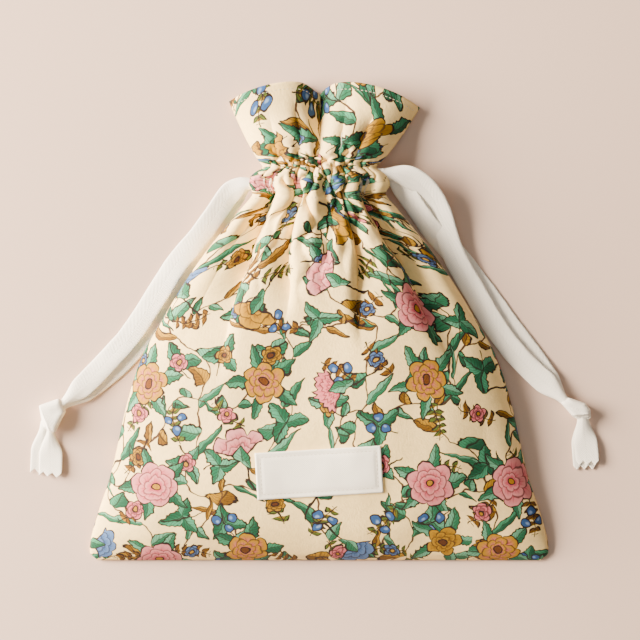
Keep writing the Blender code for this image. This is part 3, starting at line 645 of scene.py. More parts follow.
def vines(tree, colour, spot, form, ink):
    """Winding stems with leaves to both sides, some green and some ochre, under everything else."""
    turned, pitch, sway, waves, gap, length, width = form
    vine = formula(tree, """
u = across * c + along * s
v = along * c - across * s
bend = sway * sin(v * waves) + sway * 0.4 * sin(v * waves * 2.3 + 1)
lane = near((u - bend) / pitch)
off = u - bend - lane * pitch
lean = sway * waves * cos(v * waves)
fall = off / root(1 + lean * lean)
stem = step(0.00050, 0.00022, abs(fall))
run = v + lane * 0.0071 - fall * lean * 0.7
count = floor(run / gap)
way = wave(count, 1) * 2 - 1
place = run - (count + 0.20) * gap
side = fall * way
leaf_along = side * 0.80 + place * 0.60
leaf_across = place * 0.80 - side * 0.60
""", across=spot["across"], along=spot["along"], c=math.cos(turned), s=math.sin(turned), sway=sway,
                   waves=waves, pitch=pitch, gap=gap)
    hand = add_node(tree, "ShaderNodeCombineXYZ", {0: vine["lane"], 1: vine["count"]})
    throw = add_node(tree, "ShaderNodeTexWhiteNoise", {"Vector": hand.outputs[0]}, noise_dimensions="2D")
    dice = throw.outputs[0]
    light, dark = pick(tree, dice, (("#5E9E79", "#1C6240"), ("#37845C", "#104C32"), ("#A77A0D", "#6F4900")))
    colour = paint(tree, colour, as_linear("#492F20"), vine["stem"])
    size = (length, width, 0.10)
    return leaf(tree, colour, vine["leaf_along"], vine["leaf_across"], 1.0, size, (light, dark), ink)


def scattered_sprigs(tree, colour, spot, ink):
    """Small sprigs, one to a cell: leaf clusters, feathery sprays, small flowers and berries."""
    cell = cell_motifs(tree, spot["across"], spot["along"], 0.0215, 0.45)
    chosen = pick(tree, cell["third"], SPRIG_LEAVES)
    kind = formula(tree, """
spray = under(length, 0.006)
broad = 1 - spray
sector = 2.0944
folded = a - near(a / sector) * sector
arc = y + 14 * x * x - 0.0006
off = abs(arc)
place = x + 0.0011 - near((x + 0.0011) / 0.0031) * 0.0031
p = r * cos(folded) * broad + (off * 0.78 + place * 0.62) * spray
q = r * sin(folded) * broad + (place * 0.78 - off * 0.62) * spray
room = broad + spray * under(abs(x), 0.0078)
stalk = step(0.00040, 0.00016, off) * under(abs(x), 0.0090)
bloom = over(second, 0.52)
berry = under(second, 0.20)
""", second=cell["second"], a=cell["a"], r=cell["r"], x=cell["x"], y=cell["y"], length=chosen[0])
    colour = leaf(tree, colour, kind["p"], kind["q"], kind["room"], chosen[:3], chosen[3:], ink)
    colour = paint(tree, colour, ink, kind["stalk"])
    again = formula(tree, "m = (second - 0.52) / 0.48", second=cell["second"])["m"]
    small = pick(tree, again, SMALL_FLOWERS)
    colour = flower(tree, colour, cell, kind["bloom"], (*small[:3], 2, 0.0, 0.0011), small[3:], ink)
    ball = formula(tree, """
folded = a + 1.05 - near((a + 1.05) / 2.0944) * 2.0944
bx = r * cos(folded) - 0.0036
by = r * sin(folded)
far = root(bx * bx + by * by)
inside = step(0.0022, 0.0020, far) * berry
rim = step(0.00040, 0.00018, abs(far - 0.0021)) * berry
glint = step(0.0011, 0.0003, root((bx + 0.0006) ** 2 + (by - 0.0006) ** 2)) * inside
""", a=cell["a"], r=cell["r"], berry=kind["berry"])
    colour = paint(tree, colour, paint(tree, as_linear("#2C4F80"), as_linear("#758EB3"), ball["glint"]),
                   ball["inside"])
    return paint(tree, colour, ink, ball["rim"])


def large_flowers(tree, colour, spot, spacing, ink):
    """One large flower to a cell, seen from above with cut leaves behind it or from the side on a stem."""
    cell = cell_motifs(tree, spot["across"], spot["along"], spacing, 0.42)
    form = pick(tree, cell["second"], LARGE_FLOWERS)
    back = formula(tree, """
sector = 1.2566
folded = a - near(a / sector) * sector
full = 1 - aside
bend = y + 9 * x * x
p = (r * cos(folded) - 0.0058) * full + (0.0038 - x + abs(bend) * 0.6) * aside
q = r * sin(folded) * full + (bend + (0.0075 - abs(0.0075 + x)) * 0.28) * aside
fan = high(full, step(1.24, 1.16, abs(a)))
stem = step(0.00062, 0.00034, abs(bend)) * under(x, 0) * over(x, -0.019) * aside
fold = step(0.00046, 0.00018, abs(abs(a) - 1.18) * r) * under(r, radius * 0.93) * aside
cup_x = x + 0.0026
""", a=cell["a"], r=cell["r"], x=cell["x"], y=cell["y"], aside=form[6], radius=form[1])
    light, dark = pick(tree, cell["third"], (("#37845C", "#104C32"), ("#5E9E79", "#1C6240")))
    colour = paint(tree, colour, ink, back["stem"])
    colour = leaf(tree, colour, back["p"], back["q"], 1.0, (0.0116, 0.0034, 0.20), (light, dark), ink)
    colour = flower(tree, colour, cell, back["fan"], form[:6], form[7:], ink)
    colour = paint(tree, colour, ink, back["fold"])
    return leaf(tree, colour, back["cup_x"], cell["y"], form[6], (0.0076, 0.0030, 0.0), (light, dark), ink)


def rough_material(name, roughness):
    """A new material, its nodes and its shader. Every surface here is matt, some more than others."""
    material = bpy.data.materials.new(name)
    material.use_nodes = True
    nodes = material.node_tree
    shader = nodes.nodes["Principled BSDF"]
    shader.inputs["Roughness"].default_value = roughness
    return material, nodes, shader


def cloth_material(name, base, pitch, colour_of, roughness, sheen):
    """Shared by every woven finish: soft rough cotton with a faint fuzz and the threads' relief.

    base is what colour_of starts from: the print's node group, or the colour of the plain weave.
    """
    material, nodes, shader = rough_material(name, roughness)
    shader.inputs["Sheen Weight"].default_value = sheen
    shader.inputs["Specular IOR Level"].default_value = 0.25
    flat = add_node(nodes, "ShaderNodeUVMap", uv_map="Cloth")
    colour, relief = colour_of(nodes, flat.outputs[0], base, pitch)
    nodes.links.new(colour, shader.inputs["Base Color"])
    bump = add_node(nodes, "ShaderNodeBump", {"Height": relief, "Strength": 0.35, "Distance": 0.0004})
    nodes.links.new(bump.outputs[0], shader.inputs["Normal"])
    return material


def printed_colour(nodes, flat, print_group, pitch):
    """Printed plain weave: inked flowers on cream, its grain drawn coarser than threads so that it shows."""
    group = add_node(nodes, "ShaderNodeGroup", {}, node_tree=print_group)
    nodes.links.new(flat, group.inputs[0])
    threads = add_node(nodes, "ShaderNodeTexNoise", {"Vector": flat, "Scale": 1 / pitch, "Detail": 3.0},
                       noise_dimensions="2D")
    return group.outputs[0], threads.outputs["Fac"]


def wrong_side_colour(nodes, flat, print_group, pitch):
    """The unprinted side: the print shows through as a pale shadow."""
    colour, relief = printed_colour(nodes, flat, print_group, pitch)
    return paint(nodes, colour, as_linear("#EFE5D2"), 0.62), relief


def tape_colour(nodes, flat, undyed, pitch):
    """Herringbone tape: off-white, with two columns of slanting ribs that meet at a sunken spine; the grooves between
    the ribs and the spine are also darkened in the colour as painted shade.
    """
    spot = add_node(nodes, "ShaderNodeSeparateXYZ", {0: flat})
    fuzz = add_node(nodes, "ShaderNodeTexNoise", {"Vector": flat, "Scale": 1500.0, "Detail": 2.0},
                    noise_dimensions="2D")
    # Painted shade: the tone follows the relief, darker in the grooves between the ribs and along the spine
    shape = formula(nodes, """
slant = along + abs(across) * 1.5
rib = wave(slant / pitch, 1)
spine = step(0.0006, 0.0, abs(across)) * 0.4
soft = rib * 0.9 + fuzz * 0.5 - spine
tone = 0.90 + 0.10 * step(0.05, 0.65, rib) - spine * 0.10
""", across=spot.outputs[0], along=spot.outputs[1], fuzz=fuzz.outputs["Fac"], pitch=pitch / 2)
    return shade_by(nodes, undyed, shape["tone"]), shape["soft"]


def label_colour(nodes, flat, undyed, pitch):
    """Plain-woven label cotton: pale and matt, with a fine check of crossing threads whose hollows are darkened in the
    colour as painted shade.
    """
    spot = add_node(nodes, "ShaderNodeSeparateXYZ", {0: flat})
    # Painted shade: the tone follows the relief of the crossing threads, darker where they lie low
    shape = formula(nodes, """
warp = sin(across / pitch * 6.283)
weft = sin(along / pitch * 6.283)
soft = 0.5 + warp * weft * 0.5
tone = 0.955 + 0.045 * soft
""", across=spot.outputs[0], along=spot.outputs[1], pitch=pitch)
    return shade_by(nodes, undyed, shape["tone"]), shape["soft"]


def thread_material():
    """Sewing cotton: cream stitches, a little smoother than the cloth and mottled by the thread's twist."""
    material, nodes, shader = rough_material("sewing_cotton", 0.6)
    place = add_node(nodes, "ShaderNodeTexCoord")
    twist = add_node(nodes, "ShaderNodeTexNoise", {"Vector": place.outputs["Object"], "Scale": 2500.0})
    colour = paint(nodes, as_linear("#C9B99A"), as_linear("#E6DAC2"), twist.outputs["Fac"])
    nodes.links.new(colour, shader.inputs["Base Color"])
    return material


def floor_material(tint):
    """Plain floor: one matt warm tone with a grain too fine to draw the eye."""
    material, nodes, shader = rough_material("plain_floor", 0.9)
    place = add_node(nodes, "ShaderNodeTexCoord")
    grain = add_node(nodes, "ShaderNodeTexNoise", {"Vector": place.outputs["Object"], "Scale": 700.0})
    speck = formula(nodes, "m = 0.04 * grain", grain=grain.outputs["Fac"])["m"]
    nodes.links.new(paint(nodes, tint, as_linear("#C4B5A9"), speck), shader.inputs["Base Color"])
    return material


def follow(points, places):
    """Values at places on a smooth curve through (place, value) points."""
    table = np.array(points)
    spots, values = table[:, 0], table[:, 1]
    slopes = np.gradient(values, spots) if len(points) > 2 else np.full(2, np.ptp(values) / np.ptp(spots))
    slopes[1:-1] = (values[2:] - values[:-2]) / (spots[2:] - spots[:-2])
    places = np.clip(places, spots[0], spots[-1])
    index = np.clip(np.searchsorted(spots, places) - 1, 0, len(spots) - 2)
    span = spots[index + 1] - spots[index]
    u = (places - spots[index]) / span
    return ((2 * u ** 3 - 3 * u ** 2 + 1) * values[index] + (u ** 3 - 2 * u ** 2 + u) * span * slopes[index]
            + (3 * u ** 2 - 2 * u ** 3) * values[index + 1] + (u ** 3 - u ** 2) * span * slopes[index + 1])


def ease(low, high, value):
    """A smooth step from 0 at low to 1 at high."""
    u = np.clip((value - low) / (high - low), 0, 1)
    return u * u * (3 - 2 * u)


def bell(offset, spread):
    """A bell of height 1."""
    return np.exp(-(offset / spread) ** 2)


def crease(offset, spread, power):
    """A crease of depth 1, sharper at its bottom than a bell."""
    return np.exp(-np.abs(offset / spread) ** power)


def off_the_seams(across):
    """1 on the pouch, falling to 0 at its side seams, which nothing dents."""
    return np.minimum(1.0, 5 * (1 - np.abs(across)))


def rim_drop(across):
    """How far the rim lies below the head's top, across the two lobes."""
    corner = np.where(across < 0, LEFT_CORNER_DROP, RIGHT_CORNER_DROP)
    return corner * np.abs(across) ** 2.6 + NOTCH_DEPTH * np.exp(-np.abs(across) / 0.075)


def cloth_place(across, row):
    """X and Y of the cloth. across runs from -1 to 1, row from 0 at the fold past 1 at the neck to 2."""
    half_neck = NECK_WIDTH / 2
    body = half_neck + (BODY_WIDTH / 2 - half_neck) * follow(BODY_OUTLINE, np.minimum(row, 1))
    body += EAR_REACH * np.exp(-np.abs((row - EAR_ROW) / EAR_SPREAD) ** 3)
    climb = np.maximum(row - 1, 0)
    lobe = np.where(across < 0, LEFT_LOBE_WIDTH, RIGHT_LOBE_WIDTH)
    head = half_neck + (lobe - half_neck) * climb ** 0.78
    half = np.where(row <= 1, body, head)
    y = np.where(row <= 1, BOTTOM_Y + row * BODY_HEIGHT, NECK_Y + climb * (HEAD_HEIGHT - rim_drop(across)))
    return across * half, y


def seam_lift(row):
    """Height of the side seams, which rise to the middle of the gathered neck."""
    low = FOLD_THICKNESS / 2 + (SEAM_HEIGHT - FOLD_THICKNESS / 2) * ease(0.0, 0.25, row)
    body = low + (NECK_MIDDLE - low) * ease(0.55, 0.97, row)
    head = NECK_MIDDLE + (HEAD_THICKNESS * 0.22 - NECK_MIDDLE) * ease(0.0, 0.7, row - 1)
    return np.where(row <= 1, body, head)


def front_form(across, row):
    """Height of the cloth's upper face before it is gathered."""
    side = np.abs(across)
    seam = seam_lift(row)
    flat_row = np.minimum(row, 1)
    crown = BODY_THICKNESS * follow(BODY_CROWN, flat_row)
    crown += (NECK_THICKNESS - BODY_THICKNESS * BODY_CROWN[-1][1]) * ease(0.9, 1.0, row)
    roundness = np.maximum(1 - side ** (3.0 - 0.6 * flat_row), 0.0) ** (0.48 + 0.04 * flat_row)
    body = seam + np.maximum(crown - seam, 0.0) * roundness
    neck_round = np.maximum(1 - side ** 2.4, 0.0) ** 0.58
    lobe_round = np.maximum(1 - np.abs(2 * side - 1) ** 2.6, 0.0) ** 0.8
    neck_form = seam + (NECK_THICKNESS - seam) * neck_round
    lobe_form = seam + (HEAD_THICKNESS - seam) * lobe_round - 0.6 * seam * bell(across, 0.08)
    head = neck_form + (lobe_form - neck_form) * ease(0.0, 0.75, row - 1)
    return np.where(row <= 1, body, head)


def body_folds(across, row):
    """Depth of the long folds that run down the front, each steep on one side and gradual on the other."""
    inward = off_the_seams(across)
    body_row = np.minimum(row, 1.0)
    total = 0 * across
    for neck_place, foot_place, left, right, depth, reach in FOLDS:
        share = np.clip((1 - body_row) / reach, 0, 1)
        sway = 0.012 * np.sin(row * 23 + neck_place * 7)
        offset = across - neck_place - (foot_place - neck_place) * share - sway
        spread = np.where(offset < 0, left, right) * (1 + 1.1 * share)
        fade = ease(1 - reach, 0.88, body_row) * (1 - ease(0.955, 0.99, row))
        total = total + depth * fade * crease(offset, spread, 1.5) * inward
    climb = row - 1
    for place, left, right, depth, reach in HEAD_FOLDS:
        offset = across - place
        spread = np.where(offset < 0, left, right) * (0.6 + 0.5 * np.clip(climb, 0, 1))
        fade = ease(-0.03, 0.12, climb) * (1 - ease(reach * 0.3, reach, climb))
        total = total + depth * fade * crease(offset, spread, 1.6) * inward
    return total


def gathers(across, row):
    """Depth of the short creases that the drawn tapes press into the casing."""
    inward = off_the_seams(across)
    total = 0 * across
    for place, depth, spread, lean in LOWER_GATHERS:
        offset = across - place - lean * np.sin((row - 0.93) * 55 + place * 9)
        fade = ease(0.80 - 6 * abs(lean) * depth / 0.004, 0.925, row) * (1 - ease(0.955, 0.985, row))
        widen = 1 + 1.2 * (1 - ease(0.87, 0.93, row))
        total = total + depth * fade * crease(offset, spread * widen, 1.5) * inward
    for place, depth, spread, lean, reach in UPPER_GATHERS:
        offset = across - place - lean * np.sin((row - 1.0) * 45 + place * 7)
        fade = ease(0.950, 0.985, row) * (1 - ease(0.04, reach, row - 1))
        widen = 1 + 1.4 * np.clip((row - 1) / reach, 0, 1)
        total = total + depth * fade * crease(offset, spread * widen, 1.5) * inward
    return total


def front_height(across, row):
    """Height of the cloth's upper face, with its folds and gathers."""
    inward = off_the_seams(across)
    # The casing is pinched by its upper and lower rows of stitches and bulges between them
    pinch = 0.0010 * bell(row - 0.928, 0.008) + 0.0015 * bell(row - 1.015, 0.024)
    creases = gathers(across, row)
    crowd = np.maximum(body_folds(across, row), 0.90 * creases) + 0.40 * creases
    form = front_form(across, row)
    # The tapes run under the casing, so no crease reaches down to them there
    cover = ease(0.925, 0.942, row) * (1 - ease(0.988, 1.012, row))
    floor = CREASE_FLOOR + TAPE_COVER * cover
    return np.maximum(form - crowd - pinch * inward, np.minimum(floor, form))


def sideways_slump(x, fold, limit, ease_of_lean):
    """How far the walls of the folds lean over their creases."""
    slope = np.gradient(fold, axis=1) / np.maximum(np.gradient(x, axis=1), 0.00002)
    return limit * np.tanh(slope * ease_of_lean / limit)


def back_height(across, row):
    """Height of the cloth's under face, which lies on the ground away from seams and gathers."""
    side = np.abs(across)
    curl = np.maximum(0.0, (side - FLAT_SHARE) / (1 - FLAT_SHARE)) ** 2
    height = seam_lift(row) * curl
    body = height + FOLD_THICKNESS / 2 * (1 - curl) * np.maximum(0.0, 1 - row / 0.03) ** 2
    # Pleats of uneven width and height, as cloth that is drawn together falls
    turns = across * 6.5 + 0.42 * np.sin(across * 4.3 + 0.8) + 0.10 * np.sin(across * 15.0)
    pleat = (0.5 - 0.5 * np.cos(turns * 2 * math.pi)) * (0.78 + 0.22 * np.sin(across * 11.0 + 2.0))
    body = body + PLEAT_DEPTH * pleat * ease(0.86, 0.95, row) * (1 - curl)
    peak = np.maximum(front_height(across, row) - 0.0030 - height, 0.0)
    tuck = PLEAT_DEPTH * (1 - curl)
    lift = tuck + (peak - tuck) * ease(0.05, 0.45, row - 1)
    head = height + np.maximum(lift, 0.0) * pleat * off_the_seams(across)
    return np.where(row <= 1, body, head)


def soft_dents(x, y, scale, seed):
    """Slow noise over the cloth, from -1 to 1."""
    spots = zip((x / scale).ravel(), (y / scale).ravel())
    values = [noise.noise(Vector((a, b, seed))) for a, b in spots]
    return np.array(values).reshape(x.shape)


def cloth_rows():
    """Places up the cloth: closer together where it is gathered."""
    body = np.interp(np.linspace(0, 1, 108), [0, 0.05, 0.25, 0.62, 1.0], [0, 0.02, 0.45, 0.86, 1.0])
    head = 1 + np.linspace(0, 1, 36)[1:]
    return np.concatenate([body, head])


def surface_points(across, row, upper):
    """Points of the outer face of the cloth."""
    x, y = cloth_place(across, row)
    side = np.abs(across)
    z = front_height(across, row) if upper else back_height(across, row)
    if upper:
        free = np.minimum(1, 6 * (1 - side)) * np.minimum(1, row / 0.05) * (1 - ease(0.85, 0.92, row))
        for depth, width, seed in DENTS:
            z = z + depth * soft_dents(x, y, width, seed) * free
        if x.ndim == 2 and len(x) > 1:
            x = x + sideways_slump(x, body_folds(across, row), *FOLD_SLUMP)
            x = x + sideways_slump(x, gathers(across, row), *GATHER_SLUMP)
    seam = seam_lift(row)
    z = np.where(side >= 1, seam, z)
    z = np.where(row <= 0, FOLD_THICKNESS / 2, z)
    return np.stack([x, y + 0 * x, np.maximum(z, 0.00005)], axis=-1)


def arc_coordinates(points, middle):
    """Distance along each row from the middle column, and up each column from the first row."""
    across = np.linalg.norm(np.diff(points, axis=1), axis=2)
    across = np.concatenate([np.zeros((len(points), 1)), np.cumsum(across, axis=1)], axis=1)
    across -= across[:, middle:middle + 1]
    climb = np.linalg.norm(np.diff(points[:, middle], axis=0), axis=1)
    climb = np.concatenate([[0], np.cumsum(climb)])
    return across, np.repeat(climb[:, None], points.shape[1], axis=1)


def new_piece(name, shape, materials, slot):
    """A piece that rides on the pouch, from a bmesh."""
    mesh = bpy.data.meshes.new(name)
    shape.to_mesh(mesh)
    shape.free()
    piece = bpy.data.objects.new(name, mesh)
    bpy.context.scene.collection.objects.link(piece)
    for material in materials:
        mesh.materials.append(material)
    mesh.shade_smooth()
    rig.ride(piece, "root")
    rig.slot(piece, slot)
    return piece


def thicken(piece, thickness, offset, inner_slot=0):
    """Gives a thin piece its thickness. Its inner side takes the material in the given slot."""
    modifier = piece.modifiers.new("thickness", "SOLIDIFY")
    modifier.thickness = thickness
    modifier.offset = offset
    modifier.material_offset = inner_slot
    modifier.material_offset_rim = 0
    bpy.ops.object.select_all(action="DESELECT")
    bpy.context.view_layer.objects.active = piece
    piece.select_set(True)
    bpy.ops.object.modifier_apply(modifier=modifier.name)
    piece.select_set(False)


def strand_points(side, rise, route):
    """Centre points, rolls and width shares of a free strand, read from a smooth curve through its route."""
    along = LEFT_ALONG if side < 0 else RIGHT_ALONG
    stops = np.array([(side * EXIT_REACH, along, NECK_MIDDLE + rise, 0.0)] + [tuple(stop) for stop in route])
    reached = np.concatenate([[0], np.cumsum(np.linalg.norm(np.diff(stops[:, :3], axis=0), axis=1))])
    places = np.linspace(0, reached[-1], int(reached[-1] / STRAND_SPACING) + 1)
    tracks = [follow(np.stack([reached, stops[:, axis]], axis=1), places) for axis in range(4)]
    spread = CASED_TAPE_WIDTH / TAPE_WIDTH
    shares = spread + (1 - spread) * ease(0, STRAND_SPREAD, places)
    drawn_in = KNOT_SHARE + (1 - KNOT_SHARE) * ease(0.0035, 0.0170, reached[-1] - places)
    return np.stack(tracks[:3], axis=1), np.radians(tracks[3]), np.minimum(shares, drawn_in), places


def ribbon_shape(points, rolls, widths, places, cups, seed, teeth=0.0):
    """A thin closed ribbon along points, cupped across and rippled at its edges, with tape coordinates."""
    columns = 30 if teeth else 14
    shape = bmesh.new()
    layer = shape.loops.layers.uv.new("Cloth")
    tangents = np.gradient(points, axis=0)
    tangents /= np.linalg.norm(tangents, axis=1)[:, None]
    rings, coordinates = [], []
    for i, (point, tangent) in enumerate(zip(points, tangents)):
        level = np.cross(tangent, (0, 0, 1))
        level /= np.linalg.norm(level)
        up = np.cross(level, tangent)
        across = level * math.cos(rolls[i]) + up * math.sin(rolls[i])
        normal = np.cross(across, tangent)
        ring, spots = [], []
        for face in (1, -1):
            for step in range(columns + 1):
                share = (step / columns * 2 - 1) * face
                ripple = noise.noise(Vector((places[i] * 90, share * 1.2, seed))) * 0.00035 * abs(share)
                edge = 1 + 0.03 * noise.noise(Vector((places[i] * 150, seed, 4.0)))
                bend = cups[i] * (share * share - 0.4) * widths[i] + ripple
                lift = bend + face * TAPE_THICKNESS / 2 * (1 - 0.75 * abs(share) ** 8)
                # Pinked ends: the tape is cut shorter between the points of its teeth
                saw = abs(((share + 1) / 2 * teeth) % 1 - 0.5) * 2 if teeth else 0.0
                cut = PINK_DEPTH * saw * (i / (len(points) - 1)) ** 5
                spot = point + across * share * edge * widths[i] / 2 + normal * lift - tangent * cut
                # Tape that lies on the ground keeps its thickness there
                spot[2] = max(spot[2], GROUND_GAP + (0.8 * TAPE_THICKNESS if face > 0 else 0.0))
                ring.append(shape.verts.new(Vector(spot)))
                spots.append((share * widths[i] / 2, places[i] - cut))
        rings.append(ring)
        coordinates.append(spots)
    count = len(rings[0])
    for i in range(len(rings) - 1):
        for j in range(count):
            k = (j + 1) % count
            face = shape.faces.new((rings[i][j], rings[i][k], rings[i + 1][k], rings[i + 1][j]))
            spots = (coordinates[i][j], coordinates[i][k], coordinates[i + 1][k], coordinates[i + 1][j])
            for loop, spot in zip(face.loops, spots):
                loop[layer].uv = spot
    half = count // 2
    for ring, turned in ((rings[0], False), (rings[-1], True)):
        for j in range(half - 1):
            corners = [ring[j], ring[j + 1], ring[count - 2 - j], ring[count - 1 - j]]
            shape.faces.new(list(reversed(corners)) if turned else corners)
    bmesh.ops.recalc_face_normals(shape, faces=shape.faces)
    return shape


def tail_shape(tail, width, height, teeth, seed):
    """One tail: it leaves the knot creased and narrow, widens, and ends in pinked points."""
    root, end, root_width = tail
    places = np.linspace(0, 1, TAIL_STEPS)
    points = np.zeros((TAIL_STEPS, 3))
    points[:, :2] = np.array(root) + (np.array(end) - np.array(root)) * places[:, None]
    along = np.array(end) - np.array(root)
    length = float(np.linalg.norm(along))
    side = np.array([along[1], -along[0]]) / length
    points[:, :2] += side * (0.0005 * np.sin(places * 4 + seed))[:, None]
    points[:, 2] = height + (0.0036 - height) * (1 - ease(0.0, 0.5, places))
    points[:, 2] += 0.00015 * np.sin(places * 9 + seed)
    widths = root_width + (width - root_width) * ease(0.12, 0.58, places)
    cups = -0.22 * (1 - ease(0.1, 0.7, places))
    rolls = np.radians(6 * np.sin(places * 3 + seed))
    return ribbon_shape(points, rolls, widths, places * length, cups, seed, teeth)


def wrapped_knot(outline, height, ledges, seed):
    """The pulled-tight knot: flat folded tape of a given outline, with the edges of its wraps as ledges."""
    shape = bmesh.new()
    layer = shape.loops.layers.uv.new("Cloth")
    corners = [Vector(corner) for corner in outline]
    middle = sum(corners, Vector((0, 0))) / len(corners)
    turns, rings = KNOT_TURNS, KNOT_RINGS
    reaches = []
    for i in range(turns):
        angle = 2 * math.pi * i / turns
        ray = Vector((math.cos(angle), math.sin(angle)))
        hits = []
        for near, far in zip(corners, corners[1:] + corners[:1]):
            span = far - near
            across = ray.x * span.y - ray.y * span.x
            if abs(across) < 1e-12:
                continue
            reach = ((near - middle).x * span.y - (near - middle).y * span.x) / across
            share = ((near - middle).x * ray.y - (near - middle).y * ray.x) / across
            if reach > 0 and -1e-6 <= share <= 1 + 1e-6:
                hits.append(reach)
        reaches.append(max(hits))
    reaches = [0.25 * reaches[i - 1] + 0.5 * reaches[i] + 0.25 * reaches[(i + 1) % turns]
               for i in range(turns)]
    grid = []
    for j in range(rings + 1):
        fall = math.pi * j / rings
        inward = max(math.sin(fall), 0.0) ** 0.42
        rise = math.copysign(abs(math.cos(fall)) ** 0.75, math.cos(fall))
        ring = []
        for i in range(turns if 0 < j < rings else 1):
            angle = 2 * math.pi * i / turns
            ray = Vector((math.cos(angle), math.sin(angle)))
            flat = middle + ray * reaches[i] * inward * (0.0 < j < rings)
            z = height / 2 * (1 + rise)
            top = ease(0.15, 0.6, rise)
            for (x, y), (along_x, along_y), drop, soft in ledges:
                offset = (flat - Vector((x, y))).dot(Vector((along_y, -along_x)).normalized())
                z -= drop * float(ease(-soft, soft, offset)) * float(top)
                z += 0.15 * drop * math.exp(-((offset + soft) / soft) ** 2) * float(top)
            z += 0.00025 * noise.noise(Vector((flat.x * 260, flat.y * 260, seed))) * float(top)
            ring.append(shape.verts.new((flat.x, flat.y, max(z, GROUND_GAP))))
        grid.append(ring)
    for near, far in zip(grid, grid[1:]):
        for i in range(turns):
            k = (i + 1) % turns
            corner_ring = [near[i % len(near)], far[i % len(far)], far[k % len(far)], near[k % len(near)]]
            corner_ring = [corner for n, corner in enumerate(corner_ring) if corner not in corner_ring[:n]]
            face = shape.faces.new(corner_ring)
            for loop in face.loops:
                offset = loop.vert.co.xy - middle
                loop[layer].uv = (offset.x * 0.6 + offset.y * 0.8, offset.y * 0.6 - offset.x * 0.8)
    bmesh.ops.recalc_face_normals(shape, faces=shape.faces)
    return shape


def merge(shapes):
    """Joins several bmeshes into the first."""
    first = shapes[0]
    for other in shapes[1:]:
        mesh = bpy.data.meshes.new("join")
        other.to_mesh(mesh)
        other.free()
        first.from_mesh(mesh)
        bpy.data.meshes.remove(mesh)
    return first


def stitch_shape(spots, length, thread):
    """A row of short rounded stitches: each spot is a point, a direction along the row, and a normal."""
    shape = bmesh.new()
    for point, along, normal in spots:
        side = along.cross(normal).normalized()
        frame_of = Matrix((along, side, normal)).transposed()
        rings = []
        for share, swell in ((-1, 0.35), (-0.55, 0.95), (0.0, 1.0), (0.55, 0.95), (1, 0.35)):
            ring = []
            for step in range(6):
                angle = step * math.pi / 3
                sink = -0.00008 * share * share
                local = Vector((share * length / 2, math.cos(angle) * thread * swell,
                                math.sin(angle) * thread * swell + sink))
                ring.append(shape.verts.new(point + frame_of @ local))
            rings.append(ring)
        for near, far in zip(rings, rings[1:]):
            for i in range(6):
                shape.faces.new((near[i], near[(i + 1) % 6], far[(i + 1) % 6], far[i]))
        shape.faces.new(list(reversed(rings[0])))
        shape.faces.new(rings[-1])
    bmesh.ops.recalc_face_normals(shape, faces=shape.faces)
    return shape


class POUCH_OT_stage(bpy.types.Operator):
    """Sets the plain floor, the soft light and the camera straight above"""

    bl_idname = "pouch.stage"
    bl_label = "Stage"

    def execute(self, context):
        settings = context.scene.pouch_stage
        bpy.ops.object.select_all(action="DESELECT")
        bpy.ops.mesh.primitive_plane_add(size=6.0, location=(0, 0, -0.0001))
        floor = context.object
        floor.name = "floor"
        floor.data.materials.append(floor_material(tuple(settings.floor)))
        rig.stage(floor)
        for name, place, size, share, colour in LIGHTS:
            self.add_light(context, name, place, size, settings.key_power * share, colour)
        world = bpy.data.worlds.new("even_light")
        context.scene.world = world
        world.use_nodes = True
        world.node_tree.nodes["Background"].inputs[0].default_value = as_linear("#FFF2E6")
        world.node_tree.nodes["Background"].inputs[1].default_value = settings.fill_strength
        camera = bpy.data.cameras.new("camera")
        camera.sensor_width = 36
        camera.lens = camera.sensor_width * settings.camera_height / settings.view_width
        camera.clip_start = 0.05
        eye = bpy.data.objects.new("camera", camera)
        context.scene.collection.objects.link(eye)
        eye.location = (0.0004, 0.0002, settings.camera_height)
        context.scene.camera = eye
        return {"FINISHED"}

    def add_light(self, context, name, place, size, power, colour):
        """One large square light, turned to the pouch."""
        light = bpy.data.lights.new(name, "AREA")
        light.size = size
        light.energy = power
        light.color = as_linear(colour)[:3]
        lamp = bpy.data.objects.new(name, light)
        context.scene.collection.objects.link(lamp)
        lamp.location = place
        lamp.rotation_euler = (-Vector(place)).to_track_quat("-Z", "Y").to_euler()


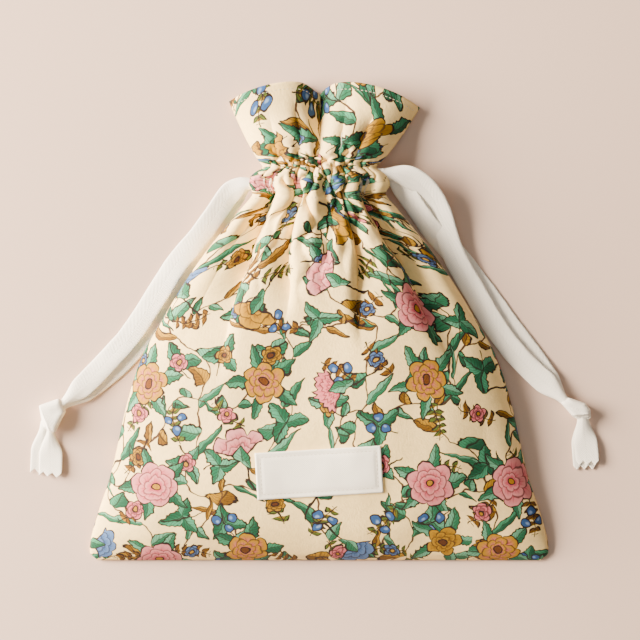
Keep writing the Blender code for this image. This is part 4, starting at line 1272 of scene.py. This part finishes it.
class POUCH_OT_tapes(bpy.types.Operator):
    """Models the four free strands, the two knots and their tails"""

    bl_idname = "pouch.tapes"
    bl_label = "Drawstring tapes"

    def execute(self, context):
        settings = context.scene.pouch_tapes
        tape = cloth_material("herringbone_tape", tuple(settings.colour), TAPE_RIB, tape_colour, 0.82, 0.15)
        knots = {side: self.knot(side + "_knot", *parts, tape, settings.width)
                 for side, parts in KNOTS.items()}
        for seed, (side_name, layer, route, slide, lift, roll) in enumerate(STRANDS):
            side = -1 if side_name == "left" else 1
            rise = STRAND_RISE if layer == "upper" else -STRAND_RISE
            points, rolls, shares, places = strand_points(side, rise, route)
            share = places / places[-1]
            apart = ease(0.22, 0.42, share) * (1 - ease(0.72, 0.97, share))
            wander = np.array([noise.noise(Vector((place * 28, seed, 9.0))) for place in places])
            along = np.gradient(points[:, :2], axis=0)
            along /= np.linalg.norm(along, axis=1)[:, None]
            level = np.stack([along[:, 1], -along[:, 0]], axis=1)
            points[:, :2] += level * (apart * (slide + 0.0006 * wander))[:, None]
            points[:, 2] += lift * apart
            rolls = rolls + np.radians(roll) * apart * (1 + 0.6 * wander)
            cups = -0.03 - 0.40 * (1 - shares)
            shape = ribbon_shape(points, rolls, shares * settings.width, places, cups, seed + 0.5)
            name = f"{side_name}_tape_{layer}"
            piece = new_piece(name + "_woven", shape, [tape], "cotton_tape")
            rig.replaces(piece, name)
            length = float(np.linalg.norm(np.diff(points, axis=0), axis=1).sum())
            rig.cord(piece, exit=points[0], length=length, diameter=settings.width, far_end="knot",
                    stiffness="limp", lay="loose", path=points[::4], with_pieces=[knots[side_name]])
        for side_name in KNOTS:
            hidden = frame["nodes"][side_name + "_tape_in_casing"]
            hidden.data.materials.clear()
            hidden.data.materials.append(tape)
        return {"FINISHED"}

    def knot(self, name, outline, tails, ledges, teeth, tape, width):
        """One knot: the wrapped part and its two tails, the nearer on top."""
        shapes = [wrapped_knot(outline, KNOT_HEIGHT, ledges, len(name))]
        for order, tail in enumerate(tails):
            shapes.append(tail_shape(tail, width, 0.0006 + 0.0012 * order, teeth, 0.3 + order))
        knot = new_piece(name + "_tied", merge(shapes), [tape], "cotton_tape")
        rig.replaces(knot, name)
        return knot


class POUCH_OT_cloth(bpy.types.Operator):
    """Models the printed cloth: body, gathered casing and frilled head"""

    bl_idname = "pouch.cloth"
    bl_label = "Printed cloth"

    def execute(self, context):
        settings = context.scene.pouch_cloth
        group = printed_group(settings)
        printed = cloth_material("printed_cotton_lawn", group, WEAVE_PITCH, printed_colour, 0.86, 0.05)
        wrong = cloth_material("cotton_lawn_wrong_side", group, WEAVE_PITCH, wrong_side_colour, 0.9, 0.12)
        rows = cloth_rows()
        front_columns = (BACK_COLUMNS - 1) * BACK_STRIDE + 1
        front = surface_points(*np.meshgrid(np.linspace(-1, 1, front_columns), rows), True)
        back = surface_points(*np.meshgrid(np.linspace(-1, 1, BACK_COLUMNS), rows), False)
        shape = bmesh.new()
        layer = shape.loops.layers.uv.new("Cloth")
        sewn = self.add_front(shape, layer, front)
        self.add_back(shape, layer, back, sewn)
        cloth = new_piece("pouch_cloth_printed", shape, [printed, wrong], "printed_cotton")
        thicken(cloth, settings.wall, -1.0, inner_slot=1)
        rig.replaces(cloth, "pouch_cloth")
        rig.sheet(cloth, flat=(0.200, 0.430), held="gathered", area=0.086)
        return {"FINISHED"}

    def add_front(self, shape, layer, points):
        """Adds the front, with the flat cloth's own coordinates, and returns its corners."""
        across, climb = arc_coordinates(points, points.shape[1] // 2)
        corners = [[shape.verts.new(Vector(spot)) for spot in row] for row in points]
        for i in range(points.shape[0] - 1):
            for j in range(points.shape[1] - 1):
                spots = [(i, j), (i, j + 1), (i + 1, j + 1), (i + 1, j)]
                face = shape.faces.new([corners[a][b] for a, b in spots])
                for loop, (a, b) in zip(face.loops, spots):
                    loop[layer].uv = (across[a, b], climb[a, b])
        return corners

    def add_back(self, shape, layer, points, sewn):
        """Adds the coarser back: its bottom row and its sides are the front's own corners."""
        across, climb = arc_coordinates(points, points.shape[1] // 2)
        last = points.shape[1] - 1
        corners = [[sewn[i][j * BACK_STRIDE] if i == 0 or j in (0, last) else shape.verts.new(Vector(spot))
                    for j, spot in enumerate(row)] for i, row in enumerate(points)]
        for i in range(points.shape[0] - 1):
            for j in range(last):
                between = range(1, BACK_STRIDE) if i == 0 else ()
                ring = [corners[i + 1][j], corners[i + 1][j + 1], corners[i][j + 1]]
                ring += [sewn[0][j * BACK_STRIDE + k] for k in reversed(between)] + [corners[i][j]]
                spots = [(across[i + 1, j], climb[i + 1, j]), (across[i + 1, j + 1], climb[i + 1, j + 1]),
                         (across[i, j + 1], climb[i, j + 1])]
                for k in reversed(between):
                    share = k / BACK_STRIDE
                    spots.append((across[i, j] * (1 - share) + across[i, j + 1] * share, climb[i, j]))
                spots.append((across[i, j], climb[i, j]))
                face = shape.faces.new(ring)
                for loop, (u, v) in zip(face.loops, spots):
                    loop[layer].uv = (u + 0.31, -v)


def label_point(u, v):
    """The point on the pouch's front under a point of the label."""
    flat = Matrix.Rotation(LABEL_TILT, 2) @ Vector((u, v))
    row = np.array([(LABEL_MIDDLE_Y + flat.y - BOTTOM_Y) / BODY_HEIGHT])
    half = cloth_place(np.array([1.0]), row)[0]
    return Vector(surface_points(flat.x / half, row, True)[0])


def stitch_pull(u, v):
    """How far the row of stitches draws the label down."""
    gap = min(LABEL_WIDTH / 2 - abs(u), LABEL_HEIGHT / 2 - abs(v))
    return 0.00026 * math.exp(-((gap - LABEL_STITCH_INSET) / 0.0007) ** 2)


class POUCH_OT_label(bpy.types.Operator):
    """Models the bare label, sewn on the front"""

    bl_idname = "pouch.label"
    bl_label = "Label"

    def execute(self, context):
        settings = context.scene.pouch_cloth
        cotton = cloth_material("label_cotton", as_linear("#FFF7E4"), WEAVE_PITCH, label_colour, 0.88, 0.1)
        shape = bmesh.new()
        layer = shape.loops.layers.uv.new("Cloth")
        bmesh.ops.create_grid(shape, x_segments=84, y_segments=32, size=0.5)
        flat = {}
        for corner in shape.verts:
            u, v = corner.co.x * LABEL_WIDTH, corner.co.y * LABEL_HEIGHT
            flat[corner] = (u, v)
            fray = 0.00012 * noise.noise(Vector((u * 900, v * 900, 2.0)))
            edge = max(abs(corner.co.x), abs(corner.co.y)) > 0.499
            lift = CLEARANCE + (0.00012 * noise.noise(Vector((u * 160, v * 160, 0.0))))
            tug = stitch_pull(u, v)
            corner.co = label_point(u + fray * edge, v + fray * edge) + Vector((0, 0, lift - tug))
        for face in shape.faces:
            for loop in face.loops:
                loop[layer].uv = flat[loop.vert]
        label = new_piece("label_sewn_on", shape, [cotton], "label_cotton")
        thicken(label, settings.label_thickness, 1.0)
        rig.replaces(label, "label")
        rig.sheet(label, flat=(LABEL_WIDTH, LABEL_HEIGHT), held="laid", rests_on=["pouch_cloth_printed"])
        return {"FINISHED"}


class POUCH_OT_stitches(bpy.types.Operator):
    """Sews the hem, the casing and the label"""

    bl_idname = "pouch.stitches"
    bl_label = "Stitches"

    def execute(self, context):
        settings = context.scene.pouch_tapes
        thread = thread_material()
        for name, reach, row in SEAMS:
            self.sew(settings, thread, name, reach, row)
        self.sew_label(settings, thread, context.scene.pouch_cloth.label_thickness)
        return {"FINISHED"}

    def sew(self, settings, thread, name, side_reach, row):
        """One seam across the front, each stitch lying on the cloth."""
        across = np.linspace(-side_reach, side_reach, SEAM_STEPS)
        rows = np.full(SEAM_STEPS, row)
        points = surface_points(across, rows, True)
        below = surface_points(across, rows - 0.004, True)
        reach = np.concatenate([[0], np.cumsum(np.linalg.norm(np.diff(points, axis=0), axis=1))])
        spots = []
        for place in np.arange(0.001, reach[-1] - 0.001, settings.stitch_pitch):
            i = int(np.searchsorted(reach, place))
            back = max(i - 12, 0)
            fore = min(i + 12, len(points) - 1)
            along = Vector(points[fore] - points[back]).normalized()
            normal = along.cross(Vector(points[i] - below[i])).normalized()
            normal = normal if normal.z > 0 else -normal
            spots.append((Vector(points[i]) + normal * 0.00006, along, normal))
        stitches = stitch_shape(spots, settings.stitch_length, THREAD_RADIUS)
        new_piece(name, stitches, [thread], "printed_cotton")

    def sew_label(self, settings, thread, thickness):
        """The row of stitches round the label."""
        u, v = LABEL_WIDTH / 2 - LABEL_STITCH_INSET, LABEL_HEIGHT / 2 - LABEL_STITCH_INSET
        corners = [(-u, -v), (u, -v), (u, v), (-u, v), (-u, -v)]
        spots = []
        for (u0, v0), (u1, v1) in zip(corners, corners[1:]):
            length = math.hypot(u1 - u0, v1 - v0)
            count = round(length / settings.stitch_pitch)
            for i in range(count):
                share = (i + 0.5) / count
                point = label_point(u0 + (u1 - u0) * share, v0 + (v1 - v0) * share)
                ahead = label_point(u0 + (u1 - u0) * (share + 0.01), v0 + (v1 - v0) * (share + 0.01))
                along = (ahead - point).normalized()
                normal = along.cross(Vector((0, 0, 1)).cross(along)).normalized()
                lift = CLEARANCE + thickness - LABEL_THREAD_SINK
                spots.append((point + normal * lift, along, normal))
        stitches = stitch_shape(spots, settings.stitch_length, LABEL_THREAD_RADIUS)
        new_piece("label_stitches", stitches, [thread], "label_cotton")


class POUCH_PT_panel(bpy.types.Panel):
    """Lists the pouch's settings and its operators."""

    bl_idname = "POUCH_PT_panel"
    bl_label = "Drawstring Pouch"
    bl_space_type = "VIEW_3D"
    bl_region_type = "UI"
    bl_category = "Pouch"

    def draw(self, context):
        for settings in (context.scene.pouch_cloth, context.scene.pouch_tapes, context.scene.pouch_stage):
            for name in settings.__annotations__:
                self.layout.prop(settings, name)
        for operator in OPERATORS:
            self.layout.operator(operator.bl_idname)


OPERATORS = (POUCH_OT_stage, POUCH_OT_tapes, POUCH_OT_cloth, POUCH_OT_label, POUCH_OT_stitches)
SETTINGS = {
    "pouch_cloth": PouchClothSettings,
    "pouch_tapes": PouchTapeSettings,
    "pouch_stage": PouchStageSettings,
}


def register():
    """Registers the settings, the operators and the panel."""
    for name, settings in SETTINGS.items():
        bpy.utils.register_class(settings)
        setattr(bpy.types.Scene, name, PointerProperty(type=settings))
    for operator in OPERATORS:
        bpy.utils.register_class(operator)
    bpy.utils.register_class(POUCH_PT_panel)


def unregister():
    """Takes everything out again."""
    bpy.utils.unregister_class(POUCH_PT_panel)
    for operator in reversed(OPERATORS):
        bpy.utils.unregister_class(operator)
    for name, settings in SETTINGS.items():
        delattr(bpy.types.Scene, name)
        bpy.utils.unregister_class(settings)


def main():
    """Builds the dressed pouch and writes its size."""
    register()
    bpy.ops.pouch.stage()
    bpy.ops.pouch.tapes()
    bpy.ops.pouch.cloth()
    bpy.ops.pouch.label()
    bpy.ops.pouch.stitches()
    with open(SIZE_FILE, "w") as file:
        json.dump({"cad": [list(corner) for corner in CAD_BOX],
                   "visual": [list(corner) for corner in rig.bounds()]}, file)


if __name__ == "__main__":
    main()
